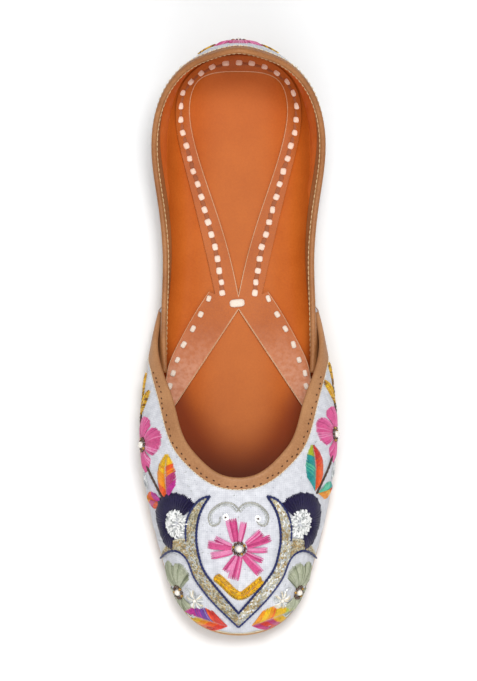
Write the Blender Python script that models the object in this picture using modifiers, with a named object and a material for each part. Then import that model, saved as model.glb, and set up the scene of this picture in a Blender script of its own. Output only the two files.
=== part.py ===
"""A jutti: a flat, low-cut slip-on shoe of leather and cloth, cut straight so that it fits either foot.

The toe points along -Y, the heel along +Y and +Z is up. Sizes are in millimetres and become metres
where a mesh is made. The shoe is even about the plane x = 0, so every table gives one half of it,
from the middle of the toe to the middle of the heel.
"""

import bmesh
import bpy
import numpy as np
from mathutils import Matrix

MM = 0.001

# Driving sizes of the shoe
WALL = 1.5
GAP = 0.3
SOLE_THICKNESS = 4.5
INSOLE_THICKNESS = 1.8
STRIP_THICKNESS = 1.2
HEEL_PIECE_THICKNESS = 2.0
HEEL_PIECE_FRONT = 76.0
TOE_SPRING = 6.5
ARCH_RISE = 0.8
BINDING_THICKNESS = 0.7
BINDING_WIDTH = 5.0
BINDING_GAP = 0.4
FOLD_CORNER = 0.1
SOLE_ROUND = 0.5

# Moves the finished shoe along so that the middle of its length is at y = 0
MIDDLE_SHIFT = 1.0

# How far the pieces stand in from the edge of the sole
QUARTER_INSET = 2.3
WING_INSET = 1.5
INSOLE_INSET = 3.0
HEEL_PIECE_INSET = 0.3
QUARTER_EXTRA_GAP = 0.1

# Shares of a whole: where the wings start along the edge, and how low a binding goes on a low wall
WING_START = 0.3
BINDING_LOWEST = 0.08

# Where the underside of the sole changes, along the shoe
TOE_END = -128.0
SPRING_START = -72.0
TREAD_END = -22.0
HEEL_SEAT = 66.0

# Outlines on the shoe's plan give the half width and the place along the shoe
OUTLINE_COLUMNS = ("half_width", "along")

# Edge of the sole, toe to heel
SOLE_EDGE = (
    (0.0, -128.0),
    (19.0, -121.8),
    (31.6, -98.0),
    (40.3, -50.0),
    (35.4, -4.0),
    (29.8, 34.0),
    (30.0, 66.0),
    (30.8, 90.0),
    (21.8, 116.6),
    (0.0, 126.0),
)

# Vamp sections, toe to wing. edge is the share of the way along the sole's edge. The wall rises by
# wall_rise from there, and the crown runs down from the throat's edge at top by crown_drop, for
# crown_reach of the way back to the sole's edge, with a belly that stands out.
VAMP_COLUMNS = (
    "edge", "top_x", "top_y", "top_z", "wall_rise", "crown_reach", "crown_drop", "belly_out",
)
VAMP_SECTIONS = (
    (0.00, 0.0, -67.8, 42.0, 12.5, 0.60, 12.0, 0.0),
    (0.07, 6.5, -66.8, 41.8, 12.5, 0.63, 11.8, 1.0),
    (0.15, 13.0, -63.0, 41.0, 12.5, 0.72, 11.5, 3.0),
    (0.23, 19.0, -56.0, 39.2, 12.0, 0.82, 11.0, 6.0),
    (0.32, 24.5, -45.0, 35.5, 11.0, 0.90, 10.0, 8.8),
    (0.40, 28.6, -28.5, 28.5, 9.0, 0.80, 8.0, 9.6),
    (0.47, 33.4, -13.0, 19.8, 6.0, 0.60, 5.5, 6.0),
    (0.52, 34.4, 0.0, 13.8, 3.4, 0.45, 3.2, 2.0),
    (0.56, 32.4, 11.0, 10.4, 1.6, 0.35, 1.6, 0.6),
)

# Quarter sections, front end to heel: the wall's height, and how far its top and belly stand out
QUARTER_COLUMNS = ("edge", "height", "top_out", "belly_out")
QUARTER_SECTIONS = (
    (0.455, 9.0, -4.4, -1.6),
    (0.50, 11.2, -1.8, -0.6),
    (0.55, 12.2, 0.7, 0.6),
    (0.62, 12.9, 3.0, 2.0),
    (0.70, 15.0, 5.5, 3.6),
    (0.78, 21.5, 7.0, 5.2),
    (0.86, 35.0, 2.2, 5.0),
    (0.93, 47.6, -7.2, 1.6),
    (1.00, 54.5, -10.3, 0.0),
)
LOW_HANDLE = 0.35
HIGH_HANDLE = 0.66

# The cross strip on the insole: a loop round the heel that narrows to the crossing, then two legs
STRIP_LOOP_INNER = (
    (0.0, 17.6), (3.8, 35.0), (10.0, 56.0), (16.9, 77.0), (20.8, 97.0), (16.6, 112.4), (0.0, 116.6),
)
STRIP_LOOP_OUTER = ((10.0, 19.0), (13.9, 37.0), (23.4, 76.0), (26.4, 96.0), (19.0, 114.4), (0.0, 121.4))
STRIP_LEG_OUTER = ((12.5, 20.0), (18.0, 11.6), (25.4, -1.8), (30.2, -13.6), (31.0, -20.5))
STRIP_LEG_INNER = ((27.6, -29.5), (14.0, -8.6), (0.0, 12.7))

# Faces along and up each piece, the step for slopes, and the angle at which shading breaks
VAMP_STEPS = (60, 9)
QUARTER_STEPS = (46, 7)
BINDING_LEG_STEPS = 3
SOLE_STEPS = (40, 5)
STRIP_STEPS = 20
HEEL_STEPS = 20
HEEL_SEARCH_STEPS = 400
NUDGE = 1e-4
SHARP_ANGLE = 0.6

# Colour and roughness of each piece
FINISHES = {
    "outsole": ((0.50, 0.28, 0.11), 0.70),
    "heel_piece": ((0.035, 0.025, 0.022), 0.80),
    "insole": ((0.52, 0.17, 0.045), 0.45),
    "insole_cross_strip": ((0.50, 0.19, 0.07), 0.45),
    "upper": ((0.80, 0.81, 0.84), 0.85),
    "vamp_binding": ((0.48, 0.24, 0.10), 0.55),
    "collar_binding": ((0.46, 0.23, 0.10), 0.55),
}


def clear_scene():
    for old in list(bpy.data.objects):
        bpy.data.objects.remove(old)


def make_material(name):
    colour, roughness = FINISHES[name]
    material = bpy.data.materials.new(name)
    material.use_nodes = True
    shader = material.node_tree.nodes["Principled BSDF"]
    shader.inputs["Base Color"].default_value = (*colour, 1.0)
    shader.inputs["Roughness"].default_value = roughness
    return material


def new_collection(name):
    collection = bpy.data.collections.new(name)
    bpy.context.scene.collection.children.link(collection)
    return collection


def spline(knots, values, level_start=False, level_end=False):
    """A cubic through the values. An end is level where the shoe is even about it, and else free."""
    knots = np.asarray(knots, float)
    values = np.asarray(values, float)
    count = len(knots)
    step = np.diff(knots)
    slope = np.diff(values) / step
    system = np.zeros((count, count))
    right = np.zeros(count)
    for i in range(1, count - 1):
        system[i, i - 1 : i + 2] = step[i - 1], 2 * (step[i - 1] + step[i]), step[i]
        right[i] = 6 * (slope[i] - slope[i - 1])
    system[0, 0] = system[-1, -1] = 1.0
    if level_start:
        system[0, :2] = 2 * step[0], step[0]
        right[0] = 6 * slope[0]
    if level_end:
        system[-1, -2:] = step[-1], 2 * step[-1]
        right[-1] = -6 * slope[-1]
    bend = np.linalg.solve(system, right)

    def value(at):
        at = np.clip(at, knots[0], knots[-1])
        i = np.clip(np.searchsorted(knots, at) - 1, 0, count - 2)
        after = at - knots[i]
        before = knots[i + 1] - at
        cubic = (bend[i] * before**3 + bend[i + 1] * after**3) / (6 * step[i])
        start = values[i] / step[i] - bend[i] * step[i] / 6
        end = values[i + 1] / step[i] - bend[i + 1] * step[i] / 6
        return cubic + start * before + end * after

    return value


def columns_of(names, rows):
    return dict(zip(names, np.array(rows).T))


def half_outline(rows, level_start=True):
    """Half an outline as a function of the share of the way along it, square to the middle at its ends."""
    table = columns_of(OUTLINE_COLUMNS, rows)
    chords = np.hypot(np.diff(table["half_width"]), np.diff(table["along"]))
    knots = np.concatenate([[0.0], np.cumsum(chords)]) / chords.sum()
    half_width = spline(knots, table["half_width"])
    along = spline(knots, table["along"], level_start, True)
    return lambda share: np.stack([half_width(share), along(share)], axis=-1)


SOLE_OUTLINE = half_outline(SOLE_EDGE)


def edge_point(side_share, inset):
    """A point inset from the sole's edge, and the way out there. side_share runs -1 to 1 over the toe."""
    share = np.abs(side_share)
    run = SOLE_OUTLINE(np.minimum(share + NUDGE, 1.0)) - SOLE_OUTLINE(np.maximum(share - NUDGE, 0.0))
    run = run / np.linalg.norm(run, axis=-1, keepdims=True)
    out = np.stack([run[..., 1], -run[..., 0]], axis=-1)
    point = SOLE_OUTLINE(share) - out * np.asarray(inset)[..., None]
    mirror = np.stack([np.where(side_share < 0, -1.0, 1.0), np.ones_like(share)], axis=-1)
    return point * mirror, out * mirror


def smooth_step(value, low, high):
    share = np.clip((value - low) / (high - low), 0.0, 1.0)
    return share * share * (3 - 2 * share)


def sole_bottom(along):
    """Height of the sole's underside: flat under the ball and the heel, sprung at the toe."""
    toe_share = np.clip((SPRING_START - along) / (SPRING_START - TOE_END), 0.0, None)
    heel_share = smooth_step(along, TREAD_END, HEEL_SEAT)
    arch = ARCH_RISE * np.sin(np.pi * heel_share) ** 2
    return TOE_SPRING * toe_share**2 + (HEEL_PIECE_THICKNESS + GAP) * heel_share + arch


def sole_top(along):
    return sole_bottom(along) + SOLE_THICKNESS


def insole_top(along):
    return sole_top(along) + GAP + INSOLE_THICKNESS


def bezier(points, share):
    share = share[..., None]
    rest = 1 - share
    first, second, third, fourth = points
    return (
        rest**3 * first
        + 3 * rest**2 * share * second
        + 3 * rest * share**2 * third
        + share**3 * fourth
    )


def section_values(columns, rows, share, level_start, level_end, odd=()):
    """Each column of a table of sections as a smooth value at the share of the way along the edge."""
    table = columns_of(columns, rows)
    knots = table.pop("edge")
    found = {}
    for column, values in table.items():
        ends = (False, False) if column in odd else (level_start, level_end)
        found[column] = spline(knots, values, *ends)(share)
    return found


def with_height(plan, height):
    return np.concatenate([plan, np.asarray(height)[..., None]], axis=-1)


VAMP_END = VAMP_SECTIONS[-1][0]
QUARTER_FRONT = QUARTER_SECTIONS[0][0]


def vamp_surface(along_edge, up):
    """Inner face of the vamp. along_edge runs 0 to 1 from wing to wing over the toe, up from sole to throat."""
    side_share = (2 * along_edge - 1) * VAMP_END
    share = np.abs(side_share)
    section = section_values(VAMP_COLUMNS, VAMP_SECTIONS, share, True, False, odd=("top_x",))
    inset = QUARTER_INSET + (WING_INSET - QUARTER_INSET) * smooth_step(share, WING_START, VAMP_END)
    foot, out = edge_point(side_share, inset)
    edge, _ = edge_point(side_share, 0.0 * share)
    low = sole_top(edge[..., 1]) + GAP
    mirror = np.where(side_share < 0, -1.0, 1.0)
    top = np.stack([section["top_x"] * mirror, section["top_y"]], axis=-1)
    reach = section["crown_reach"][..., None]
    crown = top + (foot - top) * reach + out * section["belly_out"][..., None]
    points = (
        with_height(foot, low),
        with_height(foot, low + section["wall_rise"]),
        with_height(crown, section["top_z"] - section["crown_drop"]),
        with_height(top, section["top_z"]),
    )
    return bezier(points, up)


def quarter_surface(along_edge, up):
    """Inner face of the quarter. along_edge runs 0 to 1 from one front end round the heel to the other."""
    turn = 1 - 2 * along_edge
    share = 1 - np.abs(turn) * (1 - QUARTER_FRONT)
    side_share = np.where(turn < 0, -share, share)
    section = section_values(QUARTER_COLUMNS, QUARTER_SECTIONS, share, False, True)
    foot, out = edge_point(side_share, QUARTER_INSET + 0.0 * share)
    edge, _ = edge_point(side_share, 0.0 * share)
    low = np.maximum(sole_top(edge[..., 1]), sole_top(foot[..., 1])) + GAP + QUARTER_EXTRA_GAP
    height = section["height"]
    points = (
        with_height(foot, low),
        with_height(foot, low + LOW_HANDLE * height),
        with_height(foot + out * section["belly_out"][..., None], low + HIGH_HANDLE * height),
        with_height(foot + out * section["top_out"][..., None], low + height),
    )
    return bezier(points, up)


def outward(surface, along_edge, up):
    """The way out of a wall, and the way up it, at each place."""
    ahead = surface(np.clip(along_edge + NUDGE, 0, 1), up) - surface(np.clip(along_edge - NUDGE, 0, 1), up)
    above = surface(along_edge, np.clip(up + NUDGE, 0, 1)) - surface(along_edge, np.clip(up - NUDGE, 0, 1))
    above = above / np.linalg.norm(above, axis=-1, keepdims=True)
    out = np.cross(ahead, above)
    return out / np.linalg.norm(out, axis=-1, keepdims=True), above


def lifted(surface, lift, rise):
    """The same wall moved out by lift, with its top edge moved up by rise."""

    def moved(along_edge, up):
        out, above = outward(surface, along_edge, up)
        at_top = up > 1 - NUDGE
        return surface(along_edge, up) + out * lift + above * np.where(at_top, rise, 0.0)[..., None]

    return moved


def binding_surface(surface):
    """The inner skin of a folded strip over a wall's top edge: down the outside, over it, down the inside."""
    leg = np.linspace(BINDING_WIDTH, -FOLD_CORNER, BINDING_LEG_STEPS + 1)
    rim = -FOLD_CORNER - BINDING_GAP
    depths = np.concatenate([leg, [rim, rim], leg[::-1]])
    outside = np.full(len(leg), WALL + BINDING_GAP)
    inside = np.full(len(leg), -BINDING_GAP)
    lifts = np.concatenate([outside, [WALL - FOLD_CORNER, FOLD_CORNER], inside])
    places = np.arange(len(depths))

    def skin(along_edge, across):
        depth = np.interp(across * places[-1], places, depths)
        lift = np.interp(across * places[-1], places, lifts)
        top = surface(along_edge, 1.0 + 0.0 * across)
        span = np.linalg.norm(top - surface(along_edge, 0.5 + 0.0 * across), axis=-1) * 2
        up = np.clip(1 - depth / span, BINDING_LOWEST, 1.0)
        out, above = outward(surface, along_edge, up)
        return surface(along_edge, up) + out * lift[..., None] - above * np.minimum(depth, 0)[..., None]

    return skin


def across_sole(inset, height):
    """A level of the sole as a surface: along runs toe to heel, across runs from edge to edge."""

    def level(along, across):
        edge, _ = edge_point(along, inset + 0.0 * along)
        point = np.stack([edge[..., 0] * (1 - 2 * across), edge[..., 1]], axis=-1)
        return with_height(point, height(edge[..., 1]))

    return level


def sheet(name, surface, steps, material, collection):
    """An open sheet over a surface, made from a grid whose points are moved onto it."""
    bm = bmesh.new()
    bmesh.ops.create_grid(bm, x_segments=steps[0], y_segments=steps[1], size=0.5)
    flat = np.array([vert.co for vert in bm.verts]) + 0.5
    for vert, place in zip(bm.verts, surface(flat[:, 0], flat[:, 1]) * MM):
        vert.co = place
    bmesh.ops.remove_doubles(bm, verts=bm.verts, dist=1e-5)
    return finish_mesh(name, bm, material, collection)


def finish_mesh(name, bm, material, collection):
    mesh = bpy.data.meshes.new(name)
    bm.to_mesh(mesh)
    bm.free()
    mesh.materials.append(material)
    mesh.shade_smooth()
    mesh.set_sharp_from_angle(angle=SHARP_ANGLE)
    made = bpy.data.objects.new(name, mesh)
    collection.objects.link(made)
    return made


def thicken(made, thickness):
    """Gives a sheet its thickness on the side its faces point to."""
    solidify = made.modifiers.new("Thickness", "SOLIDIFY")
    solidify.thickness = thickness * MM
    solidify.offset = 1.0
    solidify.use_even_offset = True


def round_edges(made, width):
    bevel = made.modifiers.new("Round", "BEVEL")
    bevel.width = width * MM
    bevel.segments = 2
    bevel.limit_method = "ANGLE"


def combine(made, other, operation):
    boolean = made.modifiers.new(operation.title(), "BOOLEAN")
    boolean.operation = operation
    boolean.object = other
    boolean.solver = "EXACT"


def make_helper(made):
    made.hide_render = True
    made.display_type = "WIRE"


def flat_piece(name, loops, low, thickness, material, collection):
    """A flat piece cut to closed outlines, as a welded mesh whose underside is at low."""
    curve = bpy.data.curves.new(name, "CURVE")
    curve.dimensions = "2D"
    curve.fill_mode = "BOTH"
    curve.extrude = thickness / 2 * MM
    for loop in loops:
        outline = curve.splines.new("POLY")
        outline.points.add(len(loop) - 1)
        for point, (x, y) in zip(outline.points, loop):
            point.co = (x * MM, y * MM, 0.0, 1.0)
        outline.use_cyclic_u = True
    drawn = bpy.data.objects.new(name + "_outline", curve)
    collection.objects.link(drawn)
    mesh = bpy.data.meshes.new_from_object(drawn.evaluated_get(bpy.context.evaluated_depsgraph_get()))
    bpy.data.objects.remove(drawn)
    bm = bmesh.new()
    bm.from_mesh(mesh)
    bpy.data.meshes.remove(mesh)
    bmesh.ops.remove_doubles(bm, verts=bm.verts, dist=1e-6)
    bmesh.ops.translate(bm, verts=bm.verts, vec=(0.0, 0.0, (low + thickness / 2) * MM))
    bmesh.ops.recalc_face_normals(bm, faces=bm.faces)
    return finish_mesh(name, bm, material, collection)


def mirrored(half):
    """A closed outline from its half, which starts and ends on the middle line or stops short of it."""
    other = [(-x, y) for x, y in reversed(half) if x > 1e-6]
    return [*half, *other]


def make_outsole(material, collection):
    made = sheet("outsole", across_sole(0.0, sole_bottom), SOLE_STEPS, material, collection)
    thicken(made, SOLE_THICKNESS)
    round_edges(made, SOLE_ROUND)
    return made


def make_insole(material, collection):
    under = across_sole(INSOLE_INSET, lambda along: sole_top(along) + GAP)
    made = sheet("insole", under, SOLE_STEPS, material, collection)
    thicken(made, INSOLE_THICKNESS)
    return made


def make_heel_piece(material, collection):
    """The heel's end of the sole's outline, closed by a straight front edge."""
    shares = np.linspace(VAMP_END, 1.0, HEEL_SEARCH_STEPS)
    first = shares[np.argmax(SOLE_OUTLINE(shares)[:, 1] > HEEL_PIECE_FRONT)]
    half, _ = edge_point(np.linspace(first, 1.0, HEEL_STEPS), np.full(HEEL_STEPS, HEEL_PIECE_INSET))
    outline = mirrored([tuple(point) for point in half])
    return flat_piece("heel_piece", [outline], 0.0, HEEL_PIECE_THICKNESS, material, collection)


def make_cross_strip(material, collection):
    """The strip round the heel that crosses itself at the waist and runs on as two wider legs."""
    shares = np.linspace(0.0, 1.0, STRIP_STEPS)
    inner = [tuple(point) for point in half_outline(STRIP_LOOP_INNER, False)(shares)]
    outer = [tuple(point) for point in half_outline(STRIP_LOOP_OUTER, False)(shares)]
    legs = [*STRIP_LEG_OUTER, *STRIP_LEG_INNER]
    outer_half = [*reversed(legs), *outer]
    made = flat_piece(
        "insole_cross_strip",
        [mirrored(outer_half), mirrored(inner)],
        0.0,
        STRIP_THICKNESS,
        material,
        collection,
    )
    for vert in made.data.vertices:
        vert.co.z += (insole_top(vert.co.y / MM) + GAP) * MM
    return made


def make_upper(material, collection, cutters):
    """Vamp and quarter joined into one hollow wall, with the vamp's wings over the quarter."""
    made = sheet("upper", vamp_surface, VAMP_STEPS, material, collection)
    thicken(made, WALL)
    quarter = sheet("quarter_wall", quarter_surface, QUARTER_STEPS, material, cutters)
    thicken(quarter, WALL)
    make_helper(quarter)
    combine(made, quarter, "UNION")
    return made


def make_binding(name, wall, other_wall, material, collection, cutters):
    """A folded strip over a wall's top edge, cut back so that it stays clear of the other wall."""
    surface, steps = wall
    other, other_steps = other_wall
    made = sheet(name, binding_surface(surface), (steps[0], 2 * BINDING_LEG_STEPS + 3), material, collection)
    thicken(made, BINDING_THICKNESS)
    room = 2 * GAP + BINDING_THICKNESS
    cutter = sheet(name + "_clearance", lifted(other, -room, room), other_steps, material, cutters)
    thicken(cutter, WALL + 2 * room)
    make_helper(cutter)
    combine(made, cutter, "DIFFERENCE")
    return made


def main():
    clear_scene()
    jutti = new_collection("jutti")
    cutters = new_collection("cutters")
    material = {name: make_material(name) for name in FINISHES}
    make_outsole(material["outsole"], jutti)
    make_heel_piece(material["heel_piece"], jutti)
    make_insole(material["insole"], jutti)
    make_cross_strip(material["insole_cross_strip"], jutti)
    make_upper(material["upper"], jutti, cutters)
    vamp = (vamp_surface, VAMP_STEPS)
    quarter = (quarter_surface, QUARTER_STEPS)
    make_binding("vamp_binding", vamp, quarter, material["vamp_binding"], jutti, cutters)
    make_binding("collar_binding", quarter, vamp, material["collar_binding"], jutti, cutters)
    for made in [*jutti.objects, *cutters.objects]:
        made.data.transform(Matrix.Translation((0.0, MIDDLE_SHIFT * MM, 0.0)))


main()
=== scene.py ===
import math
import random

import bmesh
import bpy
import numpy as np
from mathutils import Matrix, Vector
from mathutils.bvhtree import BVHTree


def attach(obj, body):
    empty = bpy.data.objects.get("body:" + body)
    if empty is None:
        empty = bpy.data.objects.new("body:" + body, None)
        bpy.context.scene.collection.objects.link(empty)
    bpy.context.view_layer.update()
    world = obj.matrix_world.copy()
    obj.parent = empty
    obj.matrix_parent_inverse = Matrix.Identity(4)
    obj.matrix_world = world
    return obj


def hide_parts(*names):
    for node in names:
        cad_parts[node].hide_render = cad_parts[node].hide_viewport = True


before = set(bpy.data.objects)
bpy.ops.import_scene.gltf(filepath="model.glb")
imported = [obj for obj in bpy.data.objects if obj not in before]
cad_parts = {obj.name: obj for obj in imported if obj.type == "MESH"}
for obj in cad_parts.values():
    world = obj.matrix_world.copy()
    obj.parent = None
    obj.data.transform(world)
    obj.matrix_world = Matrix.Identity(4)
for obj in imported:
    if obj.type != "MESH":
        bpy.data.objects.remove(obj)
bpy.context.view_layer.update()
mm = 0.001
hand = random.Random(11)  # the unevenness of work done by hand

# Shape of the last, in millimetres: half of an even shoe, toe to heel, as in the part
last = {
    "wall": 1.5, "gap": 0.3, "soleThickness": 4.5, "insoleThickness": 1.8, "heelPiece": 2.0,
    "toeSpring": 6.5, "archRise": 0.8, "middleShift": 1.0,
    "quarterInset": 2.3, "wingInset": 1.5, "wingStart": 0.3, "quarterLift": 0.1,
    "toeEnd": -128.0, "springStart": -72.0, "treadEnd": -22.0, "heelSeat": 66.0,
    "lowHandle": 0.35, "highHandle": 0.66,
    "soleEdge": (
        (0.0, -128.0), (19.0, -121.8), (31.6, -98.0), (40.3, -50.0), (35.4, -4.0),
        (29.8, 34.0), (30.0, 66.0), (30.8, 90.0), (21.8, 116.6), (0.0, 126.0),
    ),
    # edge share, throat x, y, z, wall rise, crown reach, crown drop, belly out
    "vamp": (
        (0.00, 0.0, -67.8, 42.0, 12.5, 0.60, 12.0, 0.0), (0.07, 6.5, -66.8, 41.8, 12.5, 0.63, 11.8, 1.0),
        (0.15, 13.0, -63.0, 41.0, 12.5, 0.72, 11.5, 3.0), (0.23, 19.0, -56.0, 39.2, 12.0, 0.82, 11.0, 6.0),
        (0.32, 24.5, -45.0, 35.5, 11.0, 0.90, 10.0, 8.8), (0.40, 28.6, -28.5, 28.5, 9.0, 0.80, 8.0, 9.6),
        (0.47, 33.4, -13.0, 19.8, 6.0, 0.60, 5.5, 6.0), (0.52, 34.4, 0.0, 13.8, 3.4, 0.45, 3.2, 2.0),
        (0.56, 32.4, 11.0, 10.4, 1.6, 0.35, 1.6, 0.6),
    ),
    # edge share, wall height, top out, belly out
    "quarter": (
        (0.455, 9.0, -4.4, -1.6), (0.50, 11.2, -1.8, -0.6), (0.55, 12.2, 0.7, 0.6), (0.62, 12.9, 3.0, 2.0),
        (0.70, 15.0, 5.5, 3.6), (0.78, 21.5, 7.0, 5.2), (0.86, 35.0, 2.2, 5.0), (0.93, 47.6, -7.2, 1.6),
        (1.00, 54.5, -10.3, 0.0),
    ),
}
vampEnd = last["vamp"][-1][0]
quarterFront = last["quarter"][0][0]
edgeLength = 290.0
nudge = 1e-4


def smoothCurve(knots, values, levelStart=False, levelEnd=False):
    knots, values = np.asarray(knots, float), np.asarray(values, float)
    count, step = len(knots), np.diff(knots)
    slope = np.diff(values) / step
    system, right = np.zeros((count, count)), np.zeros(count)
    for i in range(1, count - 1):
        system[i, i - 1:i + 2] = step[i - 1], 2 * (step[i - 1] + step[i]), step[i]
        right[i] = 6 * (slope[i] - slope[i - 1])
    system[0, 0] = system[-1, -1] = 1.0
    if levelStart:
        system[0, :2], right[0] = (2 * step[0], step[0]), 6 * slope[0]
    if levelEnd:
        system[-1, -2:], right[-1] = (step[-1], 2 * step[-1]), -6 * slope[-1]
    bend = np.linalg.solve(system, right)

    def value(at):
        at = np.clip(at, knots[0], knots[-1])
        i = np.clip(np.searchsorted(knots, at) - 1, 0, count - 2)
        after, before = at - knots[i], knots[i + 1] - at
        cubic = (bend[i] * before**3 + bend[i + 1] * after**3) / (6 * step[i])
        start = values[i] / step[i] - bend[i] * step[i] / 6
        return cubic + start * before + (values[i + 1] / step[i] - bend[i + 1] * step[i] / 6) * after

    return value


def runLength(points):
    return np.concatenate([[0.0], np.cumsum(np.linalg.norm(np.diff(points, axis=0), axis=-1))])


def halfOutline(rows, levelStart=True):
    rows = np.array(rows, float)
    knots = runLength(rows)
    knots = knots / knots[-1]
    halfWidth, along = smoothCurve(knots, rows[:, 0]), smoothCurve(knots, rows[:, 1], levelStart, True)
    return lambda share: np.stack([halfWidth(share), along(share)], axis=-1)


soleOutline = halfOutline(last["soleEdge"])


def edgePoint(sideShare, inset):
    share = np.abs(sideShare)
    run = soleOutline(np.minimum(share + nudge, 1.0)) - soleOutline(np.maximum(share - nudge, 0.0))
    run = run / np.linalg.norm(run, axis=-1, keepdims=True)
    out = np.stack([run[..., 1], -run[..., 0]], axis=-1)
    point = soleOutline(share) - out * np.asarray(inset)[..., None]
    mirror = np.stack([np.where(sideShare < 0, -1.0, 1.0), np.ones_like(share)], axis=-1)
    return point * mirror, out * mirror


def smoothStep(value, low, high):
    share = np.clip((value - low) / (high - low), 0.0, 1.0)
    return share * share * (3 - 2 * share)


def soleBottom(along):
    toeShare = np.clip((last["springStart"] - along) / (last["springStart"] - last["toeEnd"]), 0.0, None)
    heelShare = smoothStep(along, last["treadEnd"], last["heelSeat"])
    arch = last["archRise"] * np.sin(np.pi * heelShare) ** 2
    return last["toeSpring"] * toeShare**2 + (last["heelPiece"] + last["gap"]) * heelShare + arch


def soleTop(along):
    return soleBottom(along) + last["soleThickness"]


def insoleTop(along):
    return soleTop(along) + last["gap"] + last["insoleThickness"]


def bezier(points, share):
    share = share[..., None]
    rest = 1 - share
    first, second, third, fourth = points
    return rest**3 * first + 3 * rest**2 * share * second + 3 * rest * share**2 * third + share**3 * fourth


def sectionValues(rows, share, levelStart, levelEnd, odd=()):
    table = np.array(rows).T
    found = []
    for column in range(1, len(table)):
        ends = (False, False) if column in odd else (levelStart, levelEnd)
        found.append(smoothCurve(table[0], table[column], *ends)(share))
    return found


def withHeight(plan, height):
    return np.concatenate([plan, np.asarray(height)[..., None]], axis=-1)


def vampSide(alongEdge):
    return (2 * alongEdge - 1) * vampEnd


def quarterSide(alongEdge):
    turn = 1 - 2 * alongEdge
    return np.where(turn < 0, -1.0, 1.0) * (1 - np.abs(turn) * (1 - quarterFront))


def vampSurface(alongEdge, up):
    sideShare = vampSide(alongEdge)
    share = np.abs(sideShare)
    topX, topY, topZ, rise, reach, drop, belly = sectionValues(last["vamp"], share, True, False, (1,))
    wing = smoothStep(share, last["wingStart"], vampEnd)
    foot, out = edgePoint(sideShare, last["quarterInset"] + (last["wingInset"] - last["quarterInset"]) * wing)
    edge, _ = edgePoint(sideShare, 0.0 * share)
    low = soleTop(edge[..., 1]) + last["gap"]
    top = np.stack([topX * np.where(sideShare < 0, -1.0, 1.0), topY], axis=-1)
    crown = top + (foot - top) * reach[..., None] + out * belly[..., None]
    points = (withHeight(foot, low), withHeight(foot, low + rise), withHeight(crown, topZ - drop),
              withHeight(top, topZ))
    return bezier(points, up)


def quarterSurface(alongEdge, up):
    sideShare = quarterSide(alongEdge)
    share = np.abs(sideShare)
    height, topOut, belly = sectionValues(last["quarter"], share, False, True)
    foot, out = edgePoint(sideShare, last["quarterInset"] + 0.0 * share)
    edge, _ = edgePoint(sideShare, 0.0 * share)
    low = np.maximum(soleTop(edge[..., 1]), soleTop(foot[..., 1])) + last["gap"] + last["quarterLift"]
    points = (withHeight(foot, low), withHeight(foot, low + last["lowHandle"] * height),
              withHeight(foot + out * belly[..., None], low + last["highHandle"] * height),
              withHeight(foot + out * topOut[..., None], low + height))
    return bezier(points, up)


def wallWays(surface, alongEdge, up):
    ahead = surface(np.clip(alongEdge + nudge, 0, 1), up) - surface(np.clip(alongEdge - nudge, 0, 1), up)
    above = surface(alongEdge, np.clip(up + nudge, 0, 1)) - surface(alongEdge, np.clip(up - nudge, 0, 1))
    above = above / np.linalg.norm(above, axis=-1, keepdims=True)
    out = np.cross(ahead, above)
    return out / np.linalg.norm(out, axis=-1, keepdims=True), above


def toWorld(points):
    return (np.asarray(points, float) + (0.0, last["middleShift"], 0.0)) * mm


def route(points):
    return [Vector(place) for place in toWorld(points)]


def onSide(points, side):
    return [(side * x, y) for x, y in points]


# Shader building: a wire wraps a socket, and sums of wires add Math nodes
class Wire:
    def __init__(self, finish, socket):
        self.finish, self.socket = finish, socket

    def sum(self, operation, other=None, swapped=False):
        pair = (other, self) if swapped else (self, other)
        return self.finish.add("ShaderNodeMath", {"operation": operation},
                               {i: value for i, value in enumerate(pair) if value is not None})

    def __add__(self, other):
        return self.sum("ADD", other)

    def __sub__(self, other):
        return self.sum("SUBTRACT", other)

    def __rsub__(self, other):
        return self.sum("SUBTRACT", other, True)

    def __mul__(self, other):
        return self.sum("MULTIPLY", other)

    __radd__, __rmul__ = __add__, __mul__

    def wave(self):
        return self.sum("SINE")

    def size(self):
        return self.sum("ABSOLUTE")

    def between(self, low, high):
        return self.finish.add("ShaderNodeMapRange", {"interpolation_type": "SMOOTHSTEP"},
                               {"Value": self, "From Min": low, "From Max": high})


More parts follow.
